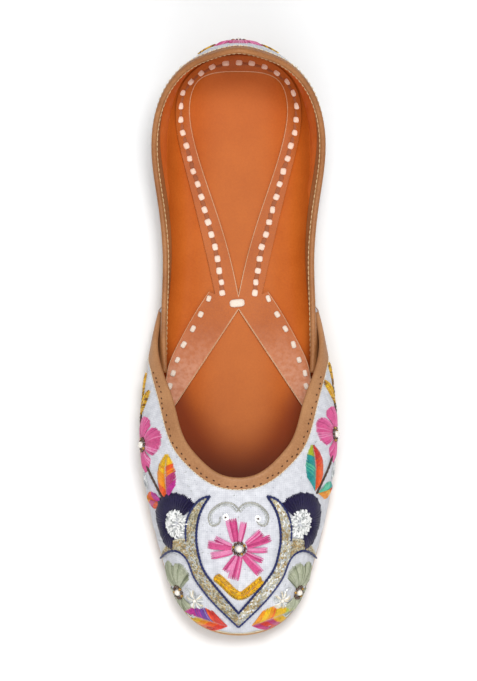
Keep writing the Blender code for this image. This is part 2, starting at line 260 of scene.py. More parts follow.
class Finish:
    def __init__(self, name, **fixed):
        self.material = bpy.data.materials.new(name)
        self.material.use_nodes = True
        self.tree = self.material.node_tree
        self.shader = self.tree.nodes["Principled BSDF"]
        self.set(fixed)

    def feed(self, socket, value):
        if isinstance(value, Wire):
            self.tree.links.new(value.socket, socket)
        elif isinstance(value, tuple) and len(value) == 3 and len(socket.default_value) == 4:
            socket.default_value = (*value, 1.0)
        else:
            socket.default_value = value

    def add(self, kind, settings, values, output=0):
        node = self.tree.nodes.new(kind)
        for name, value in settings.items():
            setattr(node, name, value)
        for name, value in values.items():
            self.feed(node.inputs[name], value)
        return Wire(self, node.outputs[output])

    def set(self, values):
        for name, value in values.items():
            self.feed(self.shader.inputs[name.replace("_", " ")], value)

    def place(self):
        spot = self.add("ShaderNodeTexCoord", {}, {}, "Object")
        return self.add("ShaderNodeVectorMath", {"operation": "SCALE"}, {0: spot, "Scale": 1 / mm})

    def flat(self):
        return self.add("ShaderNodeUVMap", {}, {}, "UV")

    def parts(self, vector):
        node = self.tree.nodes.new("ShaderNodeSeparateXYZ")
        self.feed(node.inputs[0], vector)
        return [Wire(self, socket) for socket in node.outputs]

    def noise(self, vector, scale, detail=2.0, rough=0.5):
        return self.add("ShaderNodeTexNoise", {},
                        {"Vector": vector, "Scale": scale, "Detail": detail, "Roughness": rough}, "Fac")

    def cells(self, vector, scale):
        return self.add("ShaderNodeTexVoronoi", {}, {"Vector": vector, "Scale": scale}, "Distance")

    def mix(self, share, first, second):
        return self.add("ShaderNodeMix", {"data_type": "RGBA"}, {0: share, 6: first, 7: second}, 2)

    def bump(self, height, strength, distance):
        return self.add("ShaderNodeBump", {}, {"Height": height, "Strength": strength,
                                               "Distance": distance * mm})

    def attribute(self, name):
        return self.add("ShaderNodeAttribute", {"attribute_name": name}, {}, "Fac")


def ink(code):
    shares = [int(code[i:i + 2], 16) / 255 for i in (0, 2, 4)]
    return tuple(s / 12.92 if s <= 0.04045 else ((s + 0.055) / 1.055) ** 2.4 for s in shares)


# White cloth: pitch of its threads, and the tones of threads, painted shade in the hollows between them, and
# specks
linen = {"pitch": 0.9, "low": "CACBD1", "high": "DFE0E5", "hollow": "A2A6B4", "speck": "7C7E8C"}


def clothFinish(name):
    finish = Finish(name, Sheen_Weight=0.15, Specular_IOR_Level=0.25)
    across, along, _ = finish.parts(finish.flat())
    warp, weft = across * (math.pi / linen["pitch"]), along * (math.pi / linen["pitch"])
    over = (warp.wave() * weft.wave()).between(-0.25, 0.25)
    threads = over * warp.wave().size() + (1.0 - over) * weft.wave().size()
    spot = finish.place()
    slub = finish.noise(spot, 0.35, 3.0)
    speck = finish.noise(spot, 1.1, 1.0).between(0.70, 0.76)
    white = finish.mix(slub.between(0.3, 0.75), ink(linen["low"]), ink(linen["high"]))
    # painted shade in the hollows between the threads
    white = finish.mix((1.0 - threads) * 0.34, white, ink(linen["hollow"]))
    finish.set({"Base_Color": finish.mix(speck * 0.6, white, ink(linen["speck"])),
                "Roughness": 0.78 + slub * 0.15,
                "Normal": finish.bump(threads + slub * 0.8, 0.55, 0.16)})
    return finish.material


# Leather: a painted sheen along the middle, painted shade at the sides and deep in the toe, pale where the
# foot rubs from wear and painted sheen
leather = {
    "worn": 0.08, "paintedSheen": "CC8656", "paintedSheenReach": 380.0, "sideShade": "7E2D06", "sideShadeAmount": 0.9,
    "sideLead": 14.0, "toeShade": "2E0C02", "toeLag": 8.0, "toeBow": 0.01, "wearAndSheen": "DDA88C",
}


def leatherFinish(name, low, high, grain, rough, deep=0.10, paintedToeShade=None, gleam=0.3, paintedSheen=0.0, wearAndSheen=None):
    finish = Finish(name, Specular_IOR_Level=gleam)
    spot = finish.place()
    cloud, fine = finish.noise(spot, 0.06, 4.0), finish.noise(spot, 1.3, 3.0)
    pores = finish.cells(spot, grain)
    colour = finish.mix((cloud * 0.6 + fine * 0.4).between(0.25, 0.75), ink(low), ink(high))
    # painted shade: the toe box darkens towards the toe and along its sides, where the vamp shades it
    if paintedToeShade:
        start, end, amount, bow = paintedToeShade
        across, along, _ = finish.parts(spot)
        aside = across * across
        # painted sheen: the middle of the insole is painted paler, as if a reflection lay on it
        colour = finish.mix(aside.between(leather["paintedSheenReach"], 0.0) * paintedSheen, colour, ink(leather["paintedSheen"]))
        # painted shade along the sides of the toe box
        sides = (aside * bow - along).between(start, end - leather["sideLead"])
        colour = finish.mix(sides * amount * leather["sideShadeAmount"], colour, ink(leather["sideShade"]))
        # painted shade deepest in the toe
        toe = (aside * leather["toeBow"] - along).between(start + leather["toeLag"], end)
        colour = finish.mix(toe * amount, colour, ink(leather["toeShade"]))
    # pale streaks towards the strip's leg tips: partly wear, partly painted sheen
    if wearAndSheen:
        start, end, amount = wearAndSheen
        streak = finish.noise(spot, 0.5, 3.0).between(0.3, 0.7)
        tips = finish.parts(spot)[1].between(start, end) * (streak * 0.6 + 0.4)
        colour = finish.mix(tips * amount, colour, ink(leather["wearAndSheen"]))
    finish.set({"Base_Color": colour,
                "Roughness": rough + fine * leather["worn"] * 2 - leather["worn"],
                "Normal": finish.bump(pores * 0.6 + fine * 0.5 + cloud, 0.35, deep)})
    return finish.material


# Sole leather: two tones each for edge and underside, layers in the edge, painted shade at the top of the
# edge under the welt
soleTones = {"edge": ("C9965A", "9C6A36"), "under": ("B98A55", "A27445"), "grooveShade": "7A4C26", "layers": 30.0}


def soleFinish(name):
    finish = Finish(name, Specular_IOR_Level=0.3)
    spot, layer = finish.place(), finish.attribute("layer")
    fibre, cloud = finish.noise(spot, 1.0, 4.0), finish.noise(spot, 0.07, 3.0)
    rows = (layer * soleTones["layers"] + cloud * 5.0).wave() * 0.5 + 0.5
    edge = finish.mix(rows * 0.35 + fibre * 0.3, *[ink(code) for code in soleTones["edge"]])
    under = finish.mix(cloud.between(0.3, 0.7), *[ink(code) for code in soleTones["under"]])
    colour = finish.mix(layer.between(0.02, 0.06), under, edge)
    # painted shade: the top of the sole edge darker where the upper overhangs it
    colour = finish.mix(layer.between(0.86, 0.93), colour, ink(soleTones["grooveShade"]))
    finish.set({"Base_Color": colour, "Roughness": 0.62 + fibre * 0.2,
                "Normal": finish.bump(rows * 0.4 + fibre, 0.4, 0.15)})
    return finish.material


def threadFinish(name, code, rough=0.45, sheen=0.1, tone=0.45, metal=0.0, light="FFFFFF", glint=0.0):
    finish = Finish(name, Metallic=metal, Sheen_Weight=sheen, Specular_IOR_Level=0.45)
    spot = finish.place()
    strand, cloud = finish.noise(spot, 1.6, 3.0, 0.6), finish.noise(spot, 0.35, 2.0)
    dark = tuple(c * (1.0 - tone) for c in ink(code))
    colour = finish.mix((strand * 0.6 + cloud * 0.4).between(0.30, 0.62), dark, ink(code))
    colour = finish.mix(strand.between(0.56, 0.75) * glint, colour, ink(light))
    finish.set({"Base_Color": colour, "Roughness": rough + cloud * 0.15,
                "Normal": finish.bump(strand, 0.4, 0.12)})
    return finish.material


def glossFinish(name, code, rough, metal, coat):
    finish = Finish(name, Base_Color=ink(code), Metallic=metal, Roughness=rough, Coat_Weight=coat,
                    Coat_Roughness=0.08)
    return finish.material


# Leathers: two tones, grain and roughness; then the painted shade in the toe box: where it darkens, how much
# and how bowed
clothWhite = clothFinish("white linen")
liningOrange = leatherFinish("orange lining", "CA6426", "DC7A36", 1.2, 0.5, paintedToeShade=(20.0, 66.0, 0.5, 0.0),
                             gleam=0.15)
bindingTan = leatherFinish("tan binding", "9A6944", "BA885C", 2.0, 0.5)
collarTan = leatherFinish("collar leather", "8C5730", "AF784A", 2.0, 0.5)
insoleOrange = leatherFinish("orange insole", "AE5318", "BE6222", 1.1, 0.5, 0.05,
                             paintedToeShade=(33.0, 72.0, 0.98, 0.046), gleam=0.07, paintedSheen=0.25)
stripOrange = leatherFinish("strip leather", "A4521F", "BA652C", 1.0, 0.46, 0.16, gleam=0.16,
                            wearAndSheen=(12.0, -22.0, 0.6))
stripEdge = leatherFinish("cut edge", "C9946A", "E2BA98", 2.0, 0.7)
soleTan = soleFinish("sole leather")
heelDark = leatherFinish("heel rubber", "2A1412", "43221E", 2.4, 0.7)
plainThreads = {
    "lime": "B4C02C", "yellow": "F3C318", "amber": "F29A12", "orange": "EC5F22", "red": "DC3A2A",
    "magenta": "C22F95", "purple": "7440A2", "lavender": "9E90C0", "teal": "229C9A", "mint": "5EC4A0",
    "green": "33956A",
}
inks = {
    **{colour: threadFinish(colour + " thread", code) for colour, code in plainThreads.items()},
    "pink": threadFinish("pink thread", "D95893", 0.42, 0.1, 0.28, light="EC8CB8", glint=0.4),
    "pale": threadFinish("pale pink thread", "E58DB8", 0.42, 0.1, 0.22, light="F6CDE0", glint=0.6),
    "rose": threadFinish("rose thread", "C23C7C", 0.40, 0.1, 0.35, light="E27CAE", glint=0.4),
    "navy": threadFinish("navy thread", "1E1740", 0.42, 0.0, 0.45, light="3A3468", glint=0.35),
    "blue": threadFinish("blue cord", "18245E", 0.5, 0.0, 0.45, light="32458E", glint=0.35),
    "olive": threadFinish("olive thread", "B2B69C", 0.45, 0.1, 0.30, light="D2D6C2", glint=0.5),
    "sage": threadFinish("sage thread", "9CA286", 0.45, 0.1, 0.30, light="BEC4AC", glint=0.4),
    "moss": threadFinish("moss thread", "7C8268", 0.5, 0.0, 0.35),
    "brown": threadFinish("brown cord", "4A3326", 0.45, 0.1, 0.45, light="8A6A4A", glint=0.4),
    "zari": threadFinish("zari thread", "D6CFB6", 0.34, 0.0, 0.38, 0.12, "FFFBEA", 0.8),
    "tanZari": threadFinish("tan zari", "C2A878", 0.36, 0.0, 0.40, 0.12, "F1DCA6", 0.6),
    "dimZari": threadFinish("dim zari", "A0977C", 0.40, 0.0, 0.35, 0.10, "D8CCA4", 0.4),
    "gold": threadFinish("gold thread", "E5AC24", 0.34, 0.0, 0.45, 0.12, "FFE28A", 0.7),
    "darkGold": threadFinish("dark gold thread", "9A6A1C", 0.40, 0.0, 0.40, 0.10, "D9A63C", 0.4),
    "silver": threadFinish("silver thread", "D6D9D8", 0.28, 0.0, 0.40, 0.25, "FFFFFF", 0.9),
    "pewter": threadFinish("pewter thread", "B9B8AE", 0.32, 0.0, 0.40, 0.2, "F2F2EC", 0.7),
    "white": threadFinish("white thread", "F4F4F2", 0.45, 0.1, 0.14),
    "pearl": glossFinish("pearl", "EDE6DA", 0.22, 0.0, 0.8),
    "beadBrown": glossFinish("brown bead", "4A2E1C", 0.25, 0.1, 0.5),
    "beadGold": glossFinish("gold bead", "A67C30", 0.28, 0.5, 0.3),
    "sequin": glossFinish("white sequin", "F6F7F8", 0.15, 0.15, 0.7),
    "speck": leatherFinish("needle hole", "3A2013", "54311D", 2.0, 0.7),
    "cream": threadFinish("cream thread", "EBDDBF", 0.5, 0.1, 0.15),
    "flax": threadFinish("flax thread", "DDBE90", 0.5, 0.1, 0.25),
    "thongPeach": leatherFinish("peach thong", "E0BFA8", "F2DCCB", 2.0, 0.45),
    "thongWhite": leatherFinish("white thong", "D8C2AE", "EEDFD0", 2.0, 0.5),
    # painted shade: dark pieces stand for the shade in the holes the thong passes through
    "thongHoleShade": leatherFinish("thong hole", "8C4A26", "A35C34", 2.0, 0.6),
    "stripEdge": stripEdge,
}


# Pieces
def ownMesh(name, bm, finishes):
    mesh = bpy.data.meshes.new(name)
    bm.to_mesh(mesh)
    bm.free()
    for finish in finishes:
        mesh.materials.append(finish)
    mesh.shade_smooth()
    made = bpy.data.objects.new(name, mesh)
    bpy.context.scene.collection.objects.link(made)
    return made


def settle(made, slot, *nodes):
    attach(made, "root")
    if nodes:
        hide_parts(*nodes)
    return made


def sheet(name, surface, steps, finishes, thickness):
    bm = bmesh.new()
    bmesh.ops.create_grid(bm, x_segments=steps[0], y_segments=steps[1], size=0.5)
    flat = np.array([vert.co for vert in bm.verts]) + 0.5
    for vert, place in zip(bm.verts, toWorld(surface(flat[:, 0], flat[:, 1]))):
        vert.co = place
    bm.normal_update()
    felt = BVHTree.FromBMesh(bm)
    made = ownMesh(name, bm, finishes)
    solid = made.modifiers.new("Thickness", "SOLIDIFY")
    solid.thickness, solid.offset, solid.use_even_offset = thickness * mm, -1.0, True
    solid.material_offset = len(finishes) - 1
    return made, felt


def layFlat(made):
    bpy.context.view_layer.objects.active = made
    bpy.ops.object.mode_set(mode="EDIT")
    bpy.ops.mesh.select_all(action="SELECT")
    bpy.ops.uv.unwrap(method="ANGLE_BASED", margin=0.0)
    bpy.ops.object.mode_set(mode="OBJECT")
    cloth = made.data.uv_layers.active
    flat = np.zeros(len(cloth.data) * 2, np.float32)
    cloth.data.foreach_get("uv", flat)
    corners = flat.reshape(-1, 4, 2)
    one, two = corners[:, 2] - corners[:, 0], corners[:, 3] - corners[:, 1]
    flatArea = np.abs(one[:, 0] * two[:, 1] - one[:, 1] * two[:, 0]).sum() / 2
    trueArea = sum(face.area for face in made.data.polygons) * 1e6
    cloth.data.foreach_set("uv", flat * math.sqrt(trueArea / flatArea))


# Soft puckers where the cloth is pulled down to the sole, and the folds of a worn upper
creases = {
    "puckerPitch": 9.0, "puckerLift": 0.16, "puckerHeight": 5.0,
    "puckerFrom": (0.5, 2.5), "rimFade": 0.12, "vampSteps": (220, 36), "quarterSteps": (200, 30),
    # the padded cloth hangs over the sole's edge
    "roll": 0.95, "rollHeight": 5.5, "rollReach": 4.5, "rollWalls": (9.0, 26.0),
    # side, along the edge, up the wall, slant, length, width, lift
    "vamp": (
        (1, 122.0, 14.0, 0.9, 9.0, 3.0, -0.45), (-1, 120.0, 13.0, 0.8, 9.0, 3.0, -0.45),
        (1, 112.0, 20.0, 0.7, 8.0, 3.5, 0.30), (-1, 131.0, 8.0, 1.0, 7.0, 2.5, -0.35),
        (1, 76.0, 26.0, 0.2, 14.0, 5.0, -0.35), (-1, 78.0, 27.0, 0.2, 14.0, 5.0, -0.35),
        (1, 138.0, 6.0, 1.1, 6.0, 2.5, -0.30), (-1, 30.0, 12.0, 1.3, 8.0, 3.0, -0.25),
    ),
    "quarter": (
        (1, 214.0, 12.0, 1.2, 9.0, 4.0, -0.40), (-1, 212.0, 12.0, 1.2, 9.0, 4.0, -0.40),
        (1, 246.0, 26.0, 1.4, 14.0, 4.5, -0.45), (-1, 250.0, 24.0, 1.3, 14.0, 4.5, -0.45),
        (1, 190.0, 6.0, 1.0, 6.0, 3.0, 0.25), (-1, 268.0, 30.0, 1.5, 12.0, 5.0, -0.30),
    ),
}


def creased(surface, rows, sideShareOf):
    def outer(alongEdge, up):
        out, above = wallWays(surface, alongEdge, up)
        place = surface(alongEdge, up)
        span = np.linalg.norm(surface(alongEdge, 0 * up + 1) - surface(alongEdge, 0 * up), axis=-1)
        sideShare = sideShareOf(alongEdge)
        edge, high = np.abs(sideShare) * edgeLength, up * span
        lift = creases["puckerLift"] * np.sin(2 * np.pi * edge / creases["puckerPitch"])
        lift = lift * np.exp(-((high / creases["puckerHeight"]) ** 2))
        lift = lift * smoothStep(high, *creases["puckerFrom"])
        roll = creases["roll"] * smoothStep(span, *creases["rollWalls"])  # low walls lie flat
        lift = lift + roll * np.exp(-(((high - creases["rollHeight"]) / creases["rollReach"]) ** 2))
        for side, at, height, slant, length, width, depth in rows:
            ahead, higher = edge - at, high - height
            alongFold = ahead * math.cos(slant) + higher * math.sin(slant)
            acrossFold = higher * math.cos(slant) - ahead * math.sin(slant)
            fold = np.exp(-((alongFold / length) ** 2) - (acrossFold / width) ** 2) * depth
            lift = lift + np.where(sideShare * side > 0, fold, 0.0)
        lift = lift * smoothStep(1 - up, 0.0, creases["rimFade"])
        return place + out * (last["wall"] + lift)[..., None]

    return outer


def clothWall(name, surface, rows, sideShareOf, steps):
    outer = creased(surface, rows, sideShareOf)
    wall, felt = sheet(name, outer, steps, [clothWhite, liningOrange], last["wall"])
    layFlat(wall)
    settle(wall, "upper_cloth", "upper")
    return felt


vampFelt = clothWall("vampCloth", vampSurface, creases["vamp"], vampSide, creases["vampSteps"])
quarterFelt = clothWall("quarterCloth", quarterSurface, creases["quarter"], quarterSide,
                        creases["quarterSteps"])
print("walls of the upper made")

# Folded leather bindings: depth below the rim and lift from the inner face, round the fold
bindings = {
    "thickness": 0.4, "steps": (260, 20), "lowest": 0.06, "riseFrom": (0.35, 0.8),
    "fold": ((4.1, 1.6), (3.8, 1.9), (2.8, 2.0), (1.4, 2.0), (0.4, 1.95), (-0.4, 1.5), (-0.65, 0.8),
             (-0.4, 0.0), (0.2, -0.4), (0.9, -0.5), (1.8, -0.5), (2.7, -0.5), (3.3, -0.45), (3.5, -0.25)),
    # width, rise in the middle, flare of the ends, where it starts and is full, width of the facing
    "throat": (0.92, 1.7, 1.2, (0.80, 0.93), 1.0), "collar": (1.1, 0.0, 1.8, (0.80, 0.845), 1.6),
}


def foldedStrip(surface, width, rise, flare, flareFrom, facing):
    fold = np.array(bindings["fold"])
    knots = runLength(fold)
    depthOf, liftOf = smoothCurve(knots, fold[:, 0]), smoothCurve(knots, fold[:, 1])

    def skin(alongEdge, across):
        depth, lift = depthOf(across * knots[-1]), liftOf(across * knots[-1])
        ends = 1 + flare * smoothStep(np.abs(2 * alongEdge - 1), *flareFrom)
        depth = np.where(depth > 0, depth * width * np.where(lift > 1.0, ends, facing), depth)
        middle = surface(alongEdge, 0 * across + 0.5)
        span = np.linalg.norm(surface(alongEdge, 0 * across + 1) - middle, axis=-1) * 2
        up = np.clip(1 - depth / span, bindings["lowest"], 1.0)
        out, above = wallWays(surface, alongEdge, up)
        higher = rise * smoothStep(1 - np.abs(2 * alongEdge - 1), *bindings["riseFrom"])
        higher = higher - np.minimum(depth, 0)
        return surface(alongEdge, up) + out * lift[..., None] + above * higher[..., None]

    return skin


def binding(name, skin, finish, node):
    made, felt = sheet(name, skin, bindings["steps"], [finish], bindings["thickness"])
    settle(made, "binding_leather", node)
    return felt


throatSkin = foldedStrip(vampSurface, *bindings["throat"])
collarSkin = foldedStrip(quarterSurface, *bindings["collar"])
throatFelt = binding("throatBinding", throatSkin, bindingTan, "vamp_binding")
binding("collarBinding", collarSkin, collarTan, "collar_binding")

# The insole cups up against the walls: height of its rim and how far in it starts to rise
insoleRim = {
    "inset": 1.35, "rise": 7.5, "reach": 11.0, "toeShare": 0.5, "toeFrom": (-20.0, 40.0),
    "walls": (0.47, 0.56), "heights": 60, "dots": 500, "batch": 2000,
}


def rimInset(sideShare):
    share = np.maximum(np.abs(sideShare), quarterFront)
    height, topOut, belly = sectionValues(last["quarter"], share, False, True)
    up = np.linspace(0.0, 1.0, insoleRim["heights"])[:, None]
    handles = 3 * (1 - up) ** 2 * up * last["lowHandle"] + 3 * (1 - up) * up**2 * last["highHandle"]
    rise, lean = (handles + up**3) * height, 3 * (1 - up) * up**2 * belly + up**3 * topOut
    reach = np.array([np.interp(insoleRim["rise"], rise[:, i], lean[:, i]) for i in range(len(share))])
    return insoleRim["inset"] - reach * smoothStep(np.abs(sideShare), *insoleRim["walls"])


rimShares = np.linspace(0.0, 1.0, insoleRim["dots"])
edgeDots, _ = edgePoint(rimShares, rimInset(rimShares))


def rimRise(plan):
    plan = np.atleast_2d(np.asarray(plan, float)) * (1.0, 1.0)
    plan[:, 0] = np.abs(plan[:, 0])
    near = np.concatenate([np.linalg.norm(part[:, None, :] - edgeDots[None], axis=-1).min(axis=1)
                           for part in np.array_split(plan, len(plan) // insoleRim["batch"] + 1)])
    toe = smoothStep(-plan[:, 1], *insoleRim["toeFrom"])
    rise = insoleRim["rise"] * (1 - (1 - insoleRim["toeShare"]) * toe)
    return rise * np.clip(1 - near / insoleRim["reach"], 0.0, 1.0) ** 3


# Sole and insole: how much of the half width rounds over, in how many turns, how square and how tucked
slab = {
    "lip": 0.015, "turns": 11, "square": 0.6, "tuck": 0.35, "weld": 2e-5,
    "sole": (160, 10), "insole": (300, 26),  # steps round the edge and in from it
}


def soleSlab(name, bottom, thickness, finish, steps, rim=False):
    # rows run from the middle of the underside, over the edge, to the middle of the top
    around, flats = steps
    inward = np.linspace(0.0, 1 - slab["lip"], flats)
    turns = np.linspace(-math.pi / 2, math.pi / 2, slab["turns"])
    rounded = np.sign(np.sin(turns)) * np.abs(np.sin(turns)) ** slab["square"]
    lip = 1.0 - (1 - np.cos(turns) ** slab["tuck"]) * slab["lip"]
    profile = np.array([*[(k, 0.0) for k in inward], *zip(lip, (rounded + 1) / 2),
                        *[(k, 1.0) for k in inward[::-1]]])
    bm = bmesh.new()
    bmesh.ops.create_grid(bm, x_segments=around, y_segments=len(profile) - 1, size=0.5)
    flat = np.array([vert.co for vert in bm.verts]) + 0.5
    side = 2 * flat[:, 0] - 1
    row = np.rint(flat[:, 1] * (len(profile) - 1)).astype(int)
    edge, _ = edgePoint(side, rimInset(side) if rim else 0.0 * side)
    plan = np.stack([edge[:, 0] * profile[row, 0], edge[:, 1]], axis=-1)
    height = bottom(edge[:, 1]) + thickness * profile[row, 1] + (rimRise(plan) if rim else 0.0)
    layer = bm.verts.layers.float.new("layer")
    for vert, place, level in zip(bm.verts, toWorld(withHeight(plan, height)), profile[row, 1]):
        vert.co, vert[layer] = place, level
    bmesh.ops.remove_doubles(bm, verts=bm.verts, dist=slab["weld"])
    bmesh.ops.recalc_face_normals(bm, faces=bm.faces)
    return ownMesh(name, bm, [finish])


sole = soleSlab("soleLeather", soleBottom, last["soleThickness"], soleTan, slab["sole"])
settle(sole, "outsole_leather", "outsole")
insole = soleSlab("insoleLeather", lambda along: soleTop(along) + last["gap"], last["insoleThickness"],
                  insoleOrange, slab["insole"], True)
settle(insole, "insole_leather", "insole")


def drawnMesh(curve):
    drawn = bpy.data.objects.new(curve.name + "Line", curve)
    bpy.context.scene.collection.objects.link(drawn)
    mesh = bpy.data.meshes.new_from_object(drawn.evaluated_get(bpy.context.evaluated_depsgraph_get()))
    bpy.data.objects.remove(drawn)
    bm = bmesh.new()
    bm.from_mesh(mesh)
    return bm


def flatPiece(name, loops, thickness, finishes, pleats=0.0):
    curve = bpy.data.curves.new(name, "CURVE")
    curve.dimensions, curve.fill_mode, curve.extrude = "2D", "BOTH", thickness / 2 * mm
    for loop in loops:
        outline = curve.splines.new("POLY")
        outline.points.add(len(loop) - 1)
        for point, (x, y) in zip(outline.points, loop):
            point.co = (x * mm, (y + last["middleShift"]) * mm, 0.0, 1.0)
        outline.use_cyclic_u = True
    bm = drawnMesh(curve)
    bmesh.ops.remove_doubles(bm, verts=bm.verts, dist=1e-6)
    bmesh.ops.recalc_face_normals(bm, faces=bm.faces)
    reach = max(abs(vert.co.y) for vert in bm.verts)
    for way in (Vector((1.0, 0.0, 0.0)), Vector((0.0, 1.0, 0.0))) if pleats else ():
        for at in np.arange(-reach, reach, pleats * mm):
            whole = [*bm.verts, *bm.edges, *bm.faces]
            bmesh.ops.bisect_plane(bm, geom=whole, plane_co=way * at, plane_no=way)
    for face in bm.faces:
        face.material_index = len(finishes) - 1 if abs(face.normal.z) < 0.5 else 0
    return ownMesh(name, bm, finishes)


def mirrored(half):
    return [*half, *[(-x, y) for x, y in reversed(half) if x > 1e-6]]


# Top piece under the heel: where it starts, and how far in from the sole's edge it stays
heelTop = {"front": 76.0, "inset": 0.3, "steps": 40, "tries": 400}
heelShares = np.linspace(vampEnd, 1.0, heelTop["tries"])
heelFirst = heelShares[np.argmax(soleOutline(heelShares)[:, 1] > heelTop["front"])]
heelEdge = np.linspace(heelFirst, 1.0, heelTop["steps"])
heelHalf, _ = edgePoint(heelEdge, 0 * heelEdge + heelTop["inset"])
heelPiece = flatPiece("heelPiece", [mirrored([tuple(p) for p in heelHalf])], last["heelPiece"], [heelDark])
heelPiece.data.transform(Matrix.Translation((0.0, 0.0, last["heelPiece"] / 2 * mm)))
settle(heelPiece, "heel_rubber", "heel_piece")

# Cross strip on the insole: a loop round the heel, the crossing and two legs
strip = {
    "thickness": 1.2, "steps": 70, "legSteps": 30, "sharp": 0.9,
    "loopInner": ((0.0, 17.6), (3.8, 35.0), (10.0, 56.0), (16.9, 77.0), (20.5, 92.0), (20.8, 104.0),
                  (17.0, 112.4), (9.4, 115.8), (0.0, 116.4)),
    "loopOuter": ((10.0, 19.0), (13.9, 37.0), (23.4, 76.0), (26.9, 94.0), (25.6, 106.0), (20.6, 114.2),
                  (11.6, 120.4), (0.0, 122.6)),
    "pleats": 3.0,
    "legOuter": ((12.5, 20.0), (18.0, 11.6), (25.4, -1.8), (30.2, -13.6), (31.0, -20.5)),
    "legInner": ((27.6, -29.5), (14.0, -8.6), (0.0, 12.7)),
}


def openLine(points, steps):
    points = np.array(points, float)
    knots = runLength(points)
    at = np.linspace(0.0, knots[-1], steps)
    return np.stack([smoothCurve(knots, points[:, i])(at) for i in range(points.shape[1])], axis=-1)


shares = np.linspace(0.0, 1.0, strip["steps"])
stripInner = [tuple(p) for p in halfOutline(strip["loopInner"], False)(shares)]
stripOuter = [tuple(p) for p in halfOutline(strip["loopOuter"], False)(shares)]
legOuter = [tuple(p) for p in openLine(strip["legOuter"], strip["legSteps"])]
legInner = [tuple(p) for p in openLine(strip["legInner"], strip["legSteps"])]
legInner[-1] = (0.0, legInner[-1][1])
outerHalf = [*reversed([*legOuter, *legInner]), *stripOuter]
crossStrip = flatPiece("crossStrip", [mirrored(outerHalf), mirrored(stripInner)], strip["thickness"],
                       [stripOrange, stripEdge], strip["pleats"])
stripVerts = crossStrip.data.vertices
stripPlan = np.array([(vert.co.x / mm, vert.co.y / mm - last["middleShift"]) for vert in stripVerts])
for vert, plan, rise in zip(stripVerts, stripPlan, rimRise(stripPlan)):
    vert.co.z += (float(insoleTop(plan[1])) + rise + last["gap"] + strip["thickness"] / 2) * mm
crossStrip.data.set_sharp_from_angle(angle=strip["sharp"])
settle(crossStrip, "strip_leather", "insole_cross_strip")
print("sole, insole and strip made")


def paint(fresh, material):
    for face in {face for vert in fresh for face in vert.link_faces}:
        face.material_index = material


# Needlework: strands are drawn as curves and joined with their beads into one mesh for each motif
sequin = {"sides": 10, "top": 0.45, "depth": 0.35}


class Needlework:
    def __init__(self, name, sides=0):
        self.name, self.sides = name, sides
        self.strands, self.beads, self.discs, self.used = [], [], [], []

    def slotOf(self, colour):
        if colour not in self.used:
            self.used.append(colour)
        return self.used.index(colour)

    def strand(self, points, radius, colour, taper=0.45):
        radii = np.full(len(points), radius)
        radii[0] = radii[-1] = radius * taper
        self.strands.append((points, radii, self.slotOf(colour)))

    def bead(self, point, radius, colour, squash=1.0, way=None):
        self.beads.append((point, radius, squash, way, self.slotOf(colour)))

    def disc(self, point, way, radius, colour):
        self.discs.append((point, way, radius, self.slotOf(colour)))

    def made(self, slot="upper_cloth"):
        curve = bpy.data.curves.new(self.name, "CURVE")
        curve.dimensions, curve.bevel_depth, curve.bevel_resolution = "3D", mm, self.sides
        curve.use_fill_caps = True
        for _ in self.used:
            curve.materials.append(None)
        for points, radii, material in self.strands:
            line = curve.splines.new("POLY")
            line.points.add(len(points) - 1)
            line.material_index = material
            for spot, place, radius in zip(line.points, points, radii):
                spot.co, spot.radius = (*place, 1.0), radius
        bm = drawnMesh(curve)
        for point, radius, squash, way, material in self.beads:
            turn = way.to_track_quat("Z", "Y").to_matrix().to_4x4() if way else Matrix()
            place = Matrix.Translation(point) @ turn @ Matrix.Diagonal((1.0, 1.0, squash, 1.0))
            ball = bmesh.ops.create_icosphere(bm, subdivisions=2, radius=radius * mm, matrix=place)
            paint(ball["verts"], material)
        for point, way, radius, material in self.discs:
            place = Matrix.Translation(point) @ way.to_track_quat("Z", "Y").to_matrix().to_4x4()
            disc = bmesh.ops.create_cone(bm, cap_ends=True, segments=sequin["sides"], radius1=radius * mm,
                                         radius2=radius * sequin["top"] * mm, depth=sequin["depth"] * mm,
                                         matrix=place)
            paint(disc["verts"], material)
        made = ownMesh(self.name, bm, [inks[colour] for colour in self.used])
        made.data.set_sharp_from_angle(angle=1.2)
        return settle(made, slot)


# How far the photo leans from straight down, and the ways up and back as it sees them
viewTilt = math.radians(10.0)
lookUp = Vector((0.0, math.cos(viewTilt), math.sin(viewTilt)))
lookBack = Vector((0.0, -math.sin(viewTilt), math.cos(viewTilt)))
lastShift = Vector((0.0, last["middleShift"] * mm, 0.0))
feel = {"above": 0.3, "near": 0.27, "patchAbove": 0.012, "patchDepth": 0.04}  # in metres


class Chart:
    def at(self, x, y, lift):
        spot, normal = self.find(x, y)
        return spot + normal * (lift * mm)


class TopChart(Chart):  # places as seen from above the toe: across the shoe, and along it
    def __init__(self, felt):
        self.felt = felt

    def find(self, x, y):
        start = (Vector((x * mm, 0.0, 0.0)) + lookUp * (y * mm)) + lookBack * feel["above"] + lastShift
        spot, normal, _, _ = self.felt.ray_cast(start, -lookBack)
        if spot is None:
            spot, normal, _, _ = self.felt.find_nearest(start - lookBack * feel["near"])
        return spot, normal

    def chart(self, x, y):
        return PatchChart(self.felt, *self.find(x, y), lookUp)


class PatchChart(Chart):  # a flat patch laid on the wall round one place
    def __init__(self, felt, centre, normal, upWay):
        self.felt, self.centre, self.normal = felt, centre, normal
        self.up = (upWay - normal * upWay.dot(normal)).normalized()
        self.across = self.up.cross(normal)

    def find(self, x, y):
        flat = self.centre + (self.across * x + self.up * y) * mm
        above = flat + self.normal * feel["patchAbove"]
        spot, normal, _, _ = self.felt.ray_cast(above, -self.normal, feel["patchDepth"])
        if spot is None:
            spot, normal, _, _ = self.felt.find_nearest(flat)
        return spot, normal


